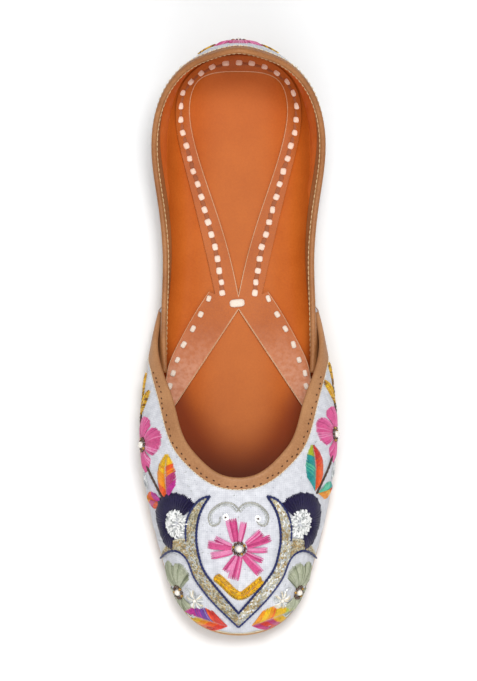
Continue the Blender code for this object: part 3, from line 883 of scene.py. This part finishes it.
def wallChart(surface, felt, side, share, up):
    if surface is vampSurface:
        alongEdge = (1 + side * share / vampEnd) / 2
    else:
        alongEdge = (1 - side * (1 - share) / (1 - quarterFront)) / 2
    place = surface(np.array([alongEdge]), np.array([up]))
    out, above = wallWays(surface, np.array([alongEdge]), np.array([up]))
    spot, normal, _, _ = felt.find_nearest(Vector(toWorld(place + out * last["wall"])[0]))
    return PatchChart(felt, spot, normal, Vector(above[0]))


topChart = TopChart(vampFelt)
# Stitches: how deep they start, how full they are, and how uneven by hand
stitches = {
    "sink": 0.05, "full": 0.6, "uneven": (0.9, 1.08), "cordTaper": 0.7,
    "couchLifts": (0.2, 0.62, 0.2), "couchUneven": (0.85, 1.1), "couchOverlap": 1.1, "couchPace": (0.8, 1.0),
    "petalRoot": 0.75, "petalRound": 0.24, "petalPower": 2.6, "petalUneven": (0.97, 1.02),
    "leafBlunt": 0.98, "leafFull": 0.62, "leafUneven": (0.94, 1.04), "leafSlant": 0.32,
    "taper": 0.6, "pearlLift": 0.55, "beadLift": 0.6, "bead": 0.7,
}


def satin(work, chart, start, end, colour, radius=0.36, rise=0.55, steps=4):
    path = []
    for i in range(steps):
        t = i / (steps - 1)
        x, y = start[0] + (end[0] - start[0]) * t, start[1] + (end[1] - start[1]) * t
        path.append(chart.at(x, y, stitches["sink"] + rise * math.sin(math.pi * t) ** stitches["full"]))
    shade = colour if isinstance(colour, str) else hand.choice(colour)
    work.strand(path, radius * hand.uniform(*stitches["uneven"]), shade)


def drawCord(work, chart, points, radius, colour, lift, step, beaded=0.0):
    length = sum(math.dist(a, b) for a, b in zip(points, points[1:]))
    line = openLine(points, max(4, int(length / step)))
    path = [chart.at(x, y, lift) for x, y in line]
    work.strand(path, radius, colour, stitches["cordTaper"])
    if beaded:
        radii = work.strands[-1][1]
        radii[1::2] *= 1.0 - beaded
        radii[0::2] *= 1.0 + beaded


def couched(work, chart, line, radius, colours, sway, stitch):
    run = runLength(line)
    at, lean = hand.uniform(0.0, stitch), 1
    while at + stitch < run[-1]:
        places = np.linspace(at, at + stitch * stitches["couchOverlap"], 3)
        points = np.stack([np.interp(places, run, line[:, i]) for i in (0, 1)], axis=-1)
        way = points[-1] - points[0]
        aside = np.array([-way[1], way[0]]) / max(np.linalg.norm(way), 1e-6) * sway * lean
        points = points + np.outer((-1.0, 0.0, 1.0), aside)
        path = [chart.at(x, y, lift) for (x, y), lift in zip(points, stitches["couchLifts"])]
        thick = radius * hand.uniform(*stitches["couchUneven"])
        work.strand(path, thick, hand.choice(colours), stitches["taper"])
        at, lean = at + stitch * hand.uniform(*stitches["couchPace"]), -lean


def petalFlower(work, chart, turns, inner, outer, spread, colours, threads, radius):
    for turn in turns:
        for i in range(threads):
            s = (i + 0.5) / threads * 2 - 1
            way = math.radians(turn + s * spread)
            near = math.radians(turn + s * spread * stitches["petalRoot"])
            reach = outer * (1 - stitches["petalRound"] * abs(s) ** stitches["petalPower"])
            reach = reach * hand.uniform(*stitches["petalUneven"])
            start = (math.cos(near) * inner, math.sin(near) * inner)
            end = (math.cos(way) * reach, math.sin(way) * reach)
            satin(work, chart, start, end, colours, radius)


def pearlHeart(work, chart, pearl, ring, beads):
    work.bead(chart.at(0.0, 0.0, pearl * stitches["pearlLift"]), pearl, "pearl")
    for i in range(beads):
        way = 2 * math.pi * i / beads
        spot = chart.at(math.cos(way) * ring, math.sin(way) * ring, stitches["beadLift"])
        work.bead(spot, stitches["bead"], "beadGold" if i % 4 == 1 else "beadBrown")


def satinLeaf(work, chart, base, tip, width, leftColours, rightColours, pitch=0.64, radius=0.33):
    length = math.dist(base, tip)
    alongX, alongY = (tip[0] - base[0]) / length, (tip[1] - base[1]) / length
    count = max(6, int(length / pitch))
    for side, colours in ((1, leftColours), (-1, rightColours)):
        for i in range(count):
            t = (i + 0.5) / count
            end = min(1.0, t + stitches["leafSlant"] * (1 - t))
            full = math.sin(math.pi * min(end, stitches["leafBlunt"])) ** stitches["leafFull"]
            half = width / 2 * full * hand.uniform(*stitches["leafUneven"])
            start = (base[0] + alongX * length * t, base[1] + alongY * length * t)
            out = (base[0] + alongX * length * end - alongY * half * side,
                   base[1] + alongY * length * end + alongX * half * side)
            satin(work, chart, start, out, colours[min(len(colours) - 1, int(t * len(colours)))], radius)


# Shield band over the toe, drawn on the right half as seen from above
shield = {
    "rows": 8, "armRows": 12, "steps": 60, "armSteps": 40, "thread": 0.37, "stitch": 1.1,
    "sway": 0.3, "armSway": 0.22,
    "threads": {-1: ("zari", "tanZari", "zari", "silver", "dimZari"),
                1: ("zari", "silver", "white", "zari", "tanZari")},
    "armThreads": ("tanZari", "zari", "tanZari", "dimZari", "zari"),
    # radius, thread, lift, step and beading
    "cord": (0.52, "blue", 0.8, 0.75, 0.2), "armCord": (0.4, "zari", 0.5, 1.0),
    "inner": ((11.8, -65.0), (14.4, -68.9), (16.4, -73.6), (17.4, -79.0), (17.5, -84.5), (16.6, -90.0),
              (14.9, -95.6), (11.2, -101.3), (5.7, -108.0), (0.0, -114.6)),
    "outer": ((11.8, -65.0), (15.4, -66.2), (18.8, -69.6), (20.9, -73.6), (22.0, -78.4), (21.8, -84.2),
              (21.0, -93.2), (18.9, -98.6), (16.0, -103.4), (11.8, -108.8), (6.8, -114.0), (0.0, -120.6)),
    "armTop": ((21.8, -83.4), (24.4, -83.6), (27.6, -84.4), (30.6, -87.0), (32.4, -91.8)),
    "armLow": ((21.2, -92.6), (23.4, -89.8), (26.6, -88.4), (29.6, -89.2), (32.4, -91.8)),
}
work = Needlework("shieldBand")
for side in (-1, 1):
    band = [openLine(onSide(shield[edge], side), shield["steps"])[1:] for edge in ("inner", "outer")]
    arm = [openLine(onSide(shield[edge], side), shield["armSteps"]) for edge in ("armTop", "armLow")]
    filled = ((band, "rows", shield["threads"][side], "sway"),
              (arm, "armRows", shield["armThreads"], "armSway"))
    for (first, second), rows, threads, sway in filled:
        for row in range(shield[rows]):
            w = (row + 0.5) / shield[rows]
            line = first * (1 - w) + second * w
            couched(work, topChart, line, shield["thread"], threads, shield[sway], shield["stitch"])
    lower = [*reversed(shield["armLow"]), *shield["outer"][7:]]
    for points in (shield["inner"], shield["outer"][:6], lower):
        drawCord(work, topChart, onSide(points, side), *shield["cord"])
    drawCord(work, topChart, onSide(shield["armTop"], side), *shield["armCord"])
work.made()
print("shield band sewn")

# Ribbon flower inside the shield, with the gold chain and scrolls: start, end and width of each ribbon
toeFlower = {
    "centre": (0.3, -87.3),
    "ribbons": (
        (-2.0, 3.3, -3.6, 12.7, 3.2), (0.3, 3.3, 1.9, 11.4, 1.9), (3.6, 2.2, 9.4, 6.9, 2.3),
        (3.8, 1.1, 13.2, 4.4, 2.1), (3.8, -0.8, 12.0, -0.8, 1.6), (3.3, -2.2, 10.0, -5.5, 1.6),
        (2.2, -3.3, 9.0, -10.8, 2.5),
        (0.0, -3.8, -2.6, -13.4, 3.2), (-1.6, -3.8, -6.0, -9.9, 1.9), (-3.3, -1.6, -12.0, -3.3, 2.1),
        (-3.8, 0.5, -13.2, 1.6, 2.4), (-3.6, 1.4, -10.2, 4.4, 1.6),
    ),
    "chain": ((-10.4, -98.6), (-5.0, -103.2), (0.6, -107.4), (5.6, -104.4), (10.2, -100.6)),
    "chainWidth": 3.9, "chainSteps": 40, "spread": 1.55, "start": 0.85, "thread": 0.44,
    "pitch": 0.5, "rootShare": 0.6,
    "threads": ("pink", "pale", "pink", "pale", "rose"), "chainThreads": ("gold", "yellow", "gold"),
    "chainShade": ("brown", "darkGold", "yellow"), "scrollCords": ((1.0, "pewter"), (0.82, "silver")),
    "scrollFrom": (8.4, -73.4), "scrollAt": (7.0, -73.4),
    "scroll": ((0.8, -71.5), (3.4, -68.6), (8.0, -68.0), (12.0, -70.4), (14.0, -74.6), (12.4, -77.6),
               (9.6, -76.4), (9.0, -73.8)),
    "scrollCord": (0.36, 0.3, 0.6, 0.35), "heart": (1.6, 2.5, 11),  # heart: pearl, ring and number of beads
    "sequins": ((-5.4, -74.0), (8.2, -74.6)), "sequin": 1.5, "sequinLift": 0.5, "stud": 0.5, "studLift": 0.70,
}
work = Needlework("toeFlower")
flower = topChart.chart(*toeFlower["centre"])
for x0, y0, x1, y1, width in toeFlower["ribbons"]:
    length = math.dist((x0, y0), (x1, y1))
    sideX, sideY = -(y1 - y0) / length, (x1 - x0) / length
    count, root = max(3, int(round(width / toeFlower["pitch"]))), toeFlower["start"]
    for i in range(count):
        w = ((i + 0.5) / count - 0.5) * width * toeFlower["spread"]
        near = w * toeFlower["rootShare"]
        start, end = (x0 * root + sideX * near, y0 * root + sideY * near), (x1 + sideX * w, y1 + sideY * w)
        satin(work, flower, start, end, toeFlower["threads"], toeFlower["thread"], 0.7, 6)
pearlHeart(work, flower, *toeFlower["heart"])
chain = openLine(toeFlower["chain"], toeFlower["chainSteps"])
chainEnd = toeFlower["chainSteps"] - 1
run = np.gradient(chain, axis=0)
across = np.stack([-run[:, 1], run[:, 0]], axis=-1) / np.linalg.norm(run, axis=1)[:, None]
for i in range(1, chainEnd):  # slanting stitches from the middle of the chain to its edges
    for edge in (-0.5, 0.5):
        aside = across[i] * edge * toeFlower["chainWidth"]
        tip, shadeTip = chain[min(i + 2, chainEnd)] + aside, chain[i + 1] + aside * 0.85
        satin(work, topChart, chain[i], tip, toeFlower["chainThreads"], 0.42, 0.6)
        satin(work, topChart, chain[i] + aside * 0.3, shadeTip, toeFlower["chainShade"], 0.19, 0.8)
for side in (-1, 1):
    for grow, thread in toeFlower["scrollCords"]:
        (fromX, fromY), (atX, atY) = toeFlower["scrollFrom"], toeFlower["scrollAt"]
        points = [(atX + (x - fromX) * grow, atY + (y - fromY) * grow) for x, y in toeFlower["scroll"]]
        radius, *sewn = toeFlower["scrollCord"]
        drawCord(work, topChart, onSide(points, side), radius, thread, *sewn)
for x, y in toeFlower["sequins"]:
    spot, normal = topChart.find(x, y)
    work.disc(spot + normal * toeFlower["sequinLift"] * mm, normal, toeFlower["sequin"], "sequin")
    work.bead(spot + normal * toeFlower["studLift"] * mm, toeFlower["stud"], "beadBrown", 0.5, normal)
work.made()
print("toe flower sewn")

# Navy fans round clusters of silver loops, one on each side of the shield
fans = {
    "centre": (26.6, -76.8), "inner": 5.4, "outer": 13.6, "from": -74.0, "to": 144.0, "threads": 64,
    "thread": 0.55, "lobe": 0.035, "lobes": 14, "uneven": (0.98, 1.01), "rises": (0.7, 0.85),
    "loops": 190, "loopReach": (4.4, 5.0), "loopShift": (0.6, 0.2), "loopLength": 1.9, "loopTilt": 0.8,
}
work = Needlework("navyFans")
for side in (-1, 1):
    chart = topChart.chart(side * fans["centre"][0], fans["centre"][1])
    for i in range(fans["threads"]):
        t = (i + 0.5) / fans["threads"]
        way = math.radians(fans["from"] + (fans["to"] - fans["from"]) * t)
        lobe = 1 - fans["lobe"] * abs(math.sin(t * math.pi * fans["lobes"]))
        x, y = math.cos(way) * side, math.sin(way)
        near, far = fans["inner"], fans["outer"] * lobe * hand.uniform(*fans["uneven"])
        start, end = (x * near, y * near), (x * far, y * far)
        satin(work, chart, start, end, "navy", fans["thread"], fans["rises"][i % 2], 5)
    for i in range(fans["loops"]):
        way, reach = hand.uniform(0, 2 * math.pi), math.sqrt(hand.random())
        x = math.cos(way) * fans["loopReach"][0] * reach - side * fans["loopShift"][0]
        y = math.sin(way) * fans["loopReach"][1] * reach - fans["loopShift"][1]
        tilt = way + hand.uniform(-fans["loopTilt"], fans["loopTilt"])
        end = (x + math.cos(tilt) * fans["loopLength"], y + math.sin(tilt) * fans["loopLength"])
        satin(work, chart, (x, y), end, "silver" if i % 3 == 0 else "white", 0.36, 1.0)
work.made()
print("fans sewn")

# Olive flowers low on the toe
olive = {
    "centre": (25.2, -106.2), "inner": 2.4, "threads": ("olive", "sage", "olive", "olive", "moss"),
    "petals": (((66, 119), 14.0, 29), ((250, 300, 345), 10.8, 27)),
    "loops": (18.4, -109.6), "loopTurns": (20, 92, 164, 236, 308),
    "loopThreads": ("white", "silver", "cream", "silver"), "loopShape": (0.7, 4.8, 30), "loopPearl": 0.8,
    "heart": (1.4, 2.6, 10), "curlCord": (0.36, "silver", 0.4, 0.8, 0.25),
    "curls": (((-7.0, -1.6), (-8.8, 0.2), (-7.2, 2.0), (-5.4, 0.6)),
              ((-1.6, -9.4), (-3.4, -11.0), (-5.2, -10.0))),
}
work = Needlework("oliveFlowers")
for side in (-1, 1):
    chart = topChart.chart(side * olive["centre"][0], olive["centre"][1])
    for turns, outer, spread in olive["petals"]:
        turns = [turn if side > 0 else 180 - turn for turn in turns]
        petalFlower(work, chart, turns, olive["inner"], outer, spread, olive["threads"], 22, 0.4)
    pearlHeart(work, chart, *olive["heart"])
    for curl in olive["curls"]:
        drawCord(work, chart, onSide(curl, side), *olive["curlCord"])
    chart = topChart.chart(side * olive["loops"][0], olive["loops"][1])
    petalFlower(work, chart, olive["loopTurns"], *olive["loopShape"], olive["loopThreads"], 6, 0.3)
    work.bead(chart.at(0, 0, 0.5), olive["loopPearl"], "pearl")
work.made()

# Two leaves at the very toe, each in its own colours
toeLeaves = (
    {"base": (-4.4, -120.6), "tip": (-26.2, -114.0), "width": 9.4,
     "left": ("red", "orange", ("amber", "orange"), "yellow", ("yellow", "lime"), "lime"),
     "right": ("red", ("orange", "red"), ("purple", "lavender"), ("magenta", "purple"), "magenta",
               ("rose", "magenta"), "lime")},
    {"base": (5.4, -120.4), "tip": (24.6, -113.4), "width": 9.4,
     "left": ("amber", "yellow", ("amber", "orange"), "yellow", ("yellow", "lime"), "lime"),
     "right": ("rose", "red", ("rose", "amber"), "yellow", ("moss", "sage"), "lavender")},
)
work = Needlework("toeLeaves")
for leaf in toeLeaves:
    satinLeaf(work, topChart, leaf["base"], leaf["tip"], leaf["width"], leaf["left"], leaf["right"])
work.made()
print("toe leaves sewn")

# Side sprays on both wings: flower, leaves, stem and gold spray, in sizes along and up from the flower
spray = {
    "share": {-1: 0.333, 1: 0.350}, "up": 0.55, "turns": (100, 12, 280, 192), "inner": 2.8, "outer": 12.0,
    "spread": 41, "threads": ("pink", "pink", "pink", "pink", "pale", "rose"),
    "stemCord": (0.5, "brown", 0.4, 0.9, 0.2), "heart": (1.5, 2.7, 10), "tip": 1.0, "sequin": 1.3,
    "ringTurn": (0.6, 5.9, 12), "ringCord": (0.36, "silver", 0.3, 0.7, 0.35), "goldStitch": (0.66, 0.38),
    "seeds": 90, "seedsAcross": (-36, 36), "seedsAlong": (-112, -40), "seed": 1.1,
    "stem": ((-10.0, 1.0), (-19.0, 2.4), (-28.0, 3.6)),
    "leaves": (((-27.4, 4.6), (-9.4, 12.6), 8.4), ((-27.4, 2.6), (-19.6, -11.6), 7.0)),
    "goldStem": ((9.8, -1.6), (20.0, -4.0), (32.0, -7.0)),
    "goldLeaves": (((14.8, -3.4), (22.0, 6.5), 6.2), ((23.5, -5.4), (31.8, 2.2), 5.6),
                   ((12.6, -4.6), (21.5, -10.6), 5.2), ((24.6, -6.2), (32.0, -11.0), 4.2),
                   ((30.6, -7.0), (41.0, -6.6), 5.0)),
    "goldThreads": ("gold", "gold", "yellow", "darkGold"),
    "lobe": 0.16, "tipPearl": (43.0, -6.8), "sequins": ((-12.5, -7.6), (9.2, -10.4)),
    "rings": ((-12.5, -7.6, 4.3), (9.2, -10.4, 2.6), (-2.0, -13.2, 2.4), (-44.0, -1.5, 4.4),
              (-44.0, -1.5, 2.2)),
}
leafColours = {  # from the stem to the tip: the half nearer the heel and the half nearer the toe of each leaf
    -1: ((("orange", "amber", ("amber", "yellow"), "yellow"),
          ("magenta", ("rose", "orange"), ("amber", "orange"), "yellow")),
         (("orange", "rose", "amber"), ("magenta", "orange", "amber"))),
    1: ((("orange", "orange", ("red", "orange"), "red"), ("teal", ("teal", "mint"), "teal", "lime")),
        (("amber", ("yellow", "amber"), "orange"), ("mint", ("teal", "mint"), "lavender"))),
}
work = Needlework("sideSprays")
for side in (-1, 1):
    chart = wallChart(vampSurface, vampFelt, side, spray["share"][side], spray["up"])
    mirror = 1.0 if (chart.across.y > 0) else -1.0  # local x runs to the heel

    def toSide(point):
        return (point[0] * mirror, point[1])

    turns = [turn if mirror > 0 else 180 - turn for turn in spray["turns"]]
    petalFlower(work, chart, turns, spray["inner"], spray["outer"], spray["spread"],
                spray["threads"], 30, 0.42)
    pearlHeart(work, chart, *spray["heart"])
    drawCord(work, chart, [toSide(p) for p in spray["stem"]], *spray["stemCord"])
    for (base, tip, width), colours in zip(spray["leaves"], leafColours[side]):
        left, right = reversed(colours) if mirror > 0 else colours
        satinLeaf(work, chart, toSide(base), toSide(tip), width, left, right)
    drawCord(work, chart, [toSide(p) for p in spray["goldStem"]], *spray["stemCord"])
    for base, tip, width in spray["goldLeaves"]:
        threads = [spray["goldThreads"]]
        satinLeaf(work, chart, toSide(base), toSide(tip), width, threads, threads, *spray["goldStitch"])
    work.bead(chart.at(*toSide(spray["tipPearl"]), 0.5), spray["tip"], "pearl")
    for spot in spray["sequins"]:
        place, normal = chart.find(*toSide(spot))
        work.disc(place + normal * 0.4 * mm, normal, spray["sequin"], "sequin")
    for x, y, reach in spray["rings"]:
        ways = np.linspace(*spray["ringTurn"])
        reaches = [reach * (1 + spray["lobe"] * math.sin(3 * way)) for way in ways]
        loop = [toSide((x + math.cos(way) * far, y + math.sin(way) * far)) for way, far in zip(ways, reaches)]
        drawCord(work, chart, loop, *spray["ringCord"])
for _ in range(spray["seeds"]):
    x, y = hand.uniform(*spray["seedsAcross"]), hand.uniform(*spray["seedsAlong"])
    tilt = hand.uniform(0, math.pi)
    end = (x + math.cos(tilt) * spray["seed"], y + math.sin(tilt) * spray["seed"])
    satin(work, topChart, (x, y), end, "silver", 0.16, 0.15)
work.made()
print("side sprays sewn")

# Pearls along the quarter, and the spray at the back of the heel
quarterPearls = {
    "places": ((0.647, 0.46), (0.702, 0.24), (0.761, 0.64), (0.831, 0.30), (0.904, 0.48)),
    "pearl": 1.1, "lift": 0.7, "rays": (0.4, 2.5, 4.4), "reach": 2.0,
}
work = Needlework("quarterPearls")
for side in (-1, 1):
    for share, up in quarterPearls["places"]:
        chart = wallChart(quarterSurface, quarterFelt, side, share, up)
        work.bead(chart.at(0, 0, quarterPearls["lift"]), quarterPearls["pearl"], "pearl")
        for turn in quarterPearls["rays"]:
            x, y = math.cos(turn) * quarterPearls["reach"], math.sin(turn) * quarterPearls["reach"]
            satin(work, chart, (0, 0), (x, y), "white", 0.2, 0.2)
work.made()
heel = {
    "share": 0.9999, "up": 0.62, "petals": (90, 18, 162, 240, 300), "inner": 2.6, "outer": 10.5, "spread": 31,
    "threads": ("pink", "pink", "pale", "rose"), "heart": (1.1, 2.5, 10),
    "leaves": (
        ((0.0, -11.0), (0.0, -26.0), 8.0, ("orange", "amber", "olive"), ("orange", "yellow", "olive")),
        ((3.0, -12.0), (14.0, -19.0), 6.4, ("teal", "green", "yellow"), ("teal", "mint", "yellow")),
        ((-3.0, -12.0), (-14.0, -19.0), 6.4, ("teal", "mint", "yellow"), ("teal", "green", "yellow")),
    ),
    "gold": (((8.5, -6.5), (17.0, -8.5), 4.2), ((-8.5, -6.5), (-17.0, -8.5), 4.2)),
}
work = Needlework("heelSpray")
chart = wallChart(quarterSurface, quarterFelt, 1, heel["share"], heel["up"])
petalFlower(work, chart, heel["petals"], heel["inner"], heel["outer"], heel["spread"],
            heel["threads"], 20, 0.42)
pearlHeart(work, chart, *heel["heart"])
for base, tip, width, left, right in heel["leaves"]:
    satinLeaf(work, chart, base, tip, width, left, right)
for base, tip, width in heel["gold"]:
    satinLeaf(work, chart, base, tip, width, [spray["goldThreads"]], [spray["goldThreads"]])
work.made()
print("quarters and heel sewn")

# Stitch rows along the bindings, knots at the wing tips and the thread along the welt
welt = {"inset": 0.35, "lift": 0.25, "radius": 0.34, "steps": 320, "knotShare": 0.545, "knotUp": 0.35,
        "knot": ((1.7, 1.2), (-1.7, 1.2), (0.2, 2.0))}
rowStitch = {"steps": 900, "lifts": (0.02, 0.18, 0.02), "up": 0.9, "pace": 6}
# wall, binding, place round the fold, pitch, length, thread, radius, start, end and unevenness
stitchRows = (
    (quarterSurface, collarSkin, 0.125, 2.4, 1.6, "cream", 0.32, 0.09, 0.91, 0.0),
    (quarterSurface, collarSkin, 0.70, 2.2, 1.95, "flax", 0.24, 0.02, 0.98, 0.0),
    (vampSurface, throatSkin, 0.15, 2.9, 0.9, "speck", 0.3, 0.1, 0.9, 0.05),
    (vampSurface, throatSkin, 0.03, 1.9, 1.6, "cream", 0.2, 0.02, 0.98, 0.0),
)
work = Needlework("bindingStitches")
for surface, skin, across, pitch, length, colour, radius, start, end, uneven in stitchRows:
    steps = np.linspace(start, end, rowStitch["steps"])
    run = runLength(skin(steps, 0 * steps + across))
    at, pace = 0.0, uneven * rowStitch["pace"]
    while at + length < run[-1]:
        wander = across + hand.uniform(-uneven, uneven)
        places = np.interp([at, at + length * 0.5, at + length], run, steps)
        points = skin(places, 0 * places + wander)
        outward = wallWays(surface, places, 0 * places + rowStitch["up"])[0] * (1.0 if across < 0.5 else -1.0)
        points = points + outward * np.array(rowStitch["lifts"])[:, None]
        work.strand(route(points), radius, colour, stitches["taper"])
        at += pitch * hand.uniform(1 - pace, 1 + pace)
for side in (-1, 1):
    chart = wallChart(vampSurface, throatFelt, side, welt["knotShare"], welt["knotUp"])
    for x, y in welt["knot"]:
        satin(work, chart, (-x, -y), (x, y), "white", 0.36, 0.5)
work.made("binding_leather")
ring = np.linspace(-1.0, 1.0, welt["steps"])
plan, _ = edgePoint(ring, 0 * ring + welt["inset"])
work = Needlework("weltThread", 1)
high = soleTop(soleOutline(np.abs(ring))[:, 1]) + welt["lift"]
work.strand(route(withHeight(plan, high)), welt["radius"], "cream", 1.0)
work.made("outsole_leather")

# Thong stitches through the strip: places on the right half, from the heel to the crossing and down the leg
thongs = {
    "loop": ((0.0, 120.0), (5.6, 119.6), (11.2, 118.0), (16.4, 115.2), (21.0, 111.2), (24.0, 106.2),
             (25.2, 100.6), (25.0, 94.8), (24.1, 89.2), (22.6, 83.6), (20.9, 78.0), (19.2, 72.4),
             (17.6, 66.8), (16.0, 61.2), (14.4, 55.6), (12.9, 50.2), (11.5, 44.8), (10.2, 39.4),
             (9.1, 34.2), (8.2, 29.0), (7.4, 24.0), (6.9, 19.4)),
    "leg": ((12.9, 17.0), (16.4, 10.2), (19.8, 4.0), (23.4, -2.8), (26.0, -9.4), (28.2, -15.2),
            (29.2, -20.8)),
    # hole: size of the dark pieces painted as the shade in the thong holes
    "size": (1.4, 1.25, 0.7), "hole": (1.4, 0.95, 0.2), "legSize": (1.45, 1.05, 0.7),
    "knot": (3.2, 1.7, 0.95), "crossing": (-0.6, 15.0, 0.1), "bevel": 0.6, "turn": 0.2, "shift": 0.3,
    "uneven": (0.88, 1.1), "lift": 0.1, "knotLift": 0.2, "edgeSink": 0.05, "edgeRadii": (0.2, 0.3, 0.16),
}
work = Needlework("stripEdges")
for side in (-1, 1):
    for edge, radius in zip((stripInner, legInner, legOuter), thongs["edgeRadii"]):
        plan = np.array(edge) * (side, 1.0)
        high = insoleTop(plan[:, 1]) + rimRise(plan) + last["gap"] + strip["thickness"] - thongs["edgeSink"]
        work.strand(route(withHeight(plan, high)), radius, "stripEdge", stitches["taper"])
work.made("strip_leather")


class Pillows:
    def __init__(self):
        self.bm, self.used, self.block = bmesh.new(), [], bpy.data.meshes.new("thongBlock")
        block = bmesh.new()
        bmesh.ops.create_cube(block, size=2.0)
        bmesh.ops.bevel(block, geom=[*block.verts, *block.edges], offset=thongs["bevel"], segments=3,
                        profile=0.5, affect="EDGES", material=-1)
        block.to_mesh(self.block)
        block.free()

    def lay(self, x, y, way, colour, half, lift=0.0):
        if colour not in self.used:
            self.used.append(colour)
        high = float(insoleTop(y)) + float(rimRise((x, y))[0]) + last["gap"] + strip["thickness"] + lift
        place = Matrix.Translation(Vector(toWorld((x, y, high)))) @ Matrix.Rotation(way, 4, "Z")
        place = place @ Matrix.Diagonal((*[h * mm for h in half], 1.0))
        vertsBefore, facesBefore = len(self.bm.verts), len(self.bm.faces)
        self.bm.from_mesh(self.block)
        self.bm.verts.ensure_lookup_table()
        self.bm.faces.ensure_lookup_table()
        bmesh.ops.transform(self.bm, matrix=place, verts=self.bm.verts[vertsBefore:])
        for face in self.bm.faces[facesBefore:]:
            face.material_index = self.used.index(colour)


thongWork = Pillows()
for side in (-1, 1):
    for row, colour, size in (("loop", "thongPeach", "size"), ("leg", "thongWhite", "legSize")):
        spots = onSide(thongs[row], side)
        for i, (x, y) in enumerate(spots):
            if row == "loop" and i == 0 and side < 0:
                continue
            ahead, behind = spots[min(i + 1, len(spots) - 1)], spots[max(i - 1, 0)]
            way = math.atan2(ahead[1] - behind[1], ahead[0] - behind[0])
            way += hand.uniform(-thongs["turn"], thongs["turn"])
            shape = [h * hand.uniform(*thongs["uneven"]) for h in thongs[size]]
            aside = x + hand.uniform(-thongs["shift"], thongs["shift"])
            thongWork.lay(aside, y, way, colour, shape, thongs["lift"])
            if row == "loop" and i + 1 < len(spots):
                # dark piece between thongs: painted shade of the hole the thong goes through
                thongWork.lay((x + ahead[0]) / 2, (y + ahead[1]) / 2, way, "thongHoleShade", thongs["hole"])
thongWork.lay(*thongs["crossing"], "thongWhite", thongs["knot"], thongs["knotLift"])
settle(ownMesh("thongStitches", thongWork.bm, [inks[colour] for colour in thongWork.used]), "strip_leather")
print("stitches made")

# Floor, light and camera
stage = {"floor": "F2F2F2", "target": (0.0, -0.002, 0.02), "distance": 3.0, "tilt": 80.0, "lens": 372.0,
         "world": 0.36, "lightTarget": (0.0, 0.0, 0.02)}
# name, place, width and power of each light
lights = (("key light", (0.15, 0.22, 1.5), 0.5, 12.0), ("top light", (-0.25, -0.25, 1.6), 1.4, 7.5),
          ("front light", (0.1, -1.1, 0.9), 0.9, 6.5))
bm = bmesh.new()
bmesh.ops.create_grid(bm, x_segments=1, y_segments=1, size=3.0)
floor = ownMesh("floor", bm, [Finish("pale floor", Base_Color=ink(stage["floor"]), Roughness=0.9).material])
for name, place, width, power in lights:
    light = bpy.data.lights.new(name, "AREA")
    light.shape, light.size, light.size_y, light.energy = "RECTANGLE", width, width, power
    lamp = bpy.data.objects.new(name, light)
    bpy.context.scene.collection.objects.link(lamp)
    lamp.location = place
    lamp.rotation_euler = (Vector(stage["lightTarget"]) - Vector(place)).to_track_quat("-Z", "Y").to_euler()
world = bpy.data.worlds.new("studio")
world.use_nodes = True
world.node_tree.nodes["Background"].inputs["Color"].default_value = (1.0, 1.0, 1.0, 1.0)
world.node_tree.nodes["Background"].inputs["Strength"].default_value = stage["world"]
bpy.context.scene.world = world
bpy.context.scene.view_settings.view_transform = "Standard"
camera = bpy.data.objects.new("camera", bpy.data.cameras.new("camera"))
bpy.context.scene.collection.objects.link(camera)
tilt = math.radians(stage["tilt"])
back = Vector((0.0, -math.cos(tilt), math.sin(tilt)))
camera.location = Vector(stage["target"]) + back * stage["distance"]
camera.rotation_euler = (-back).to_track_quat("-Z", "Y").to_euler()
camera.data.lens = stage["lens"]
bpy.context.scene.camera = camera
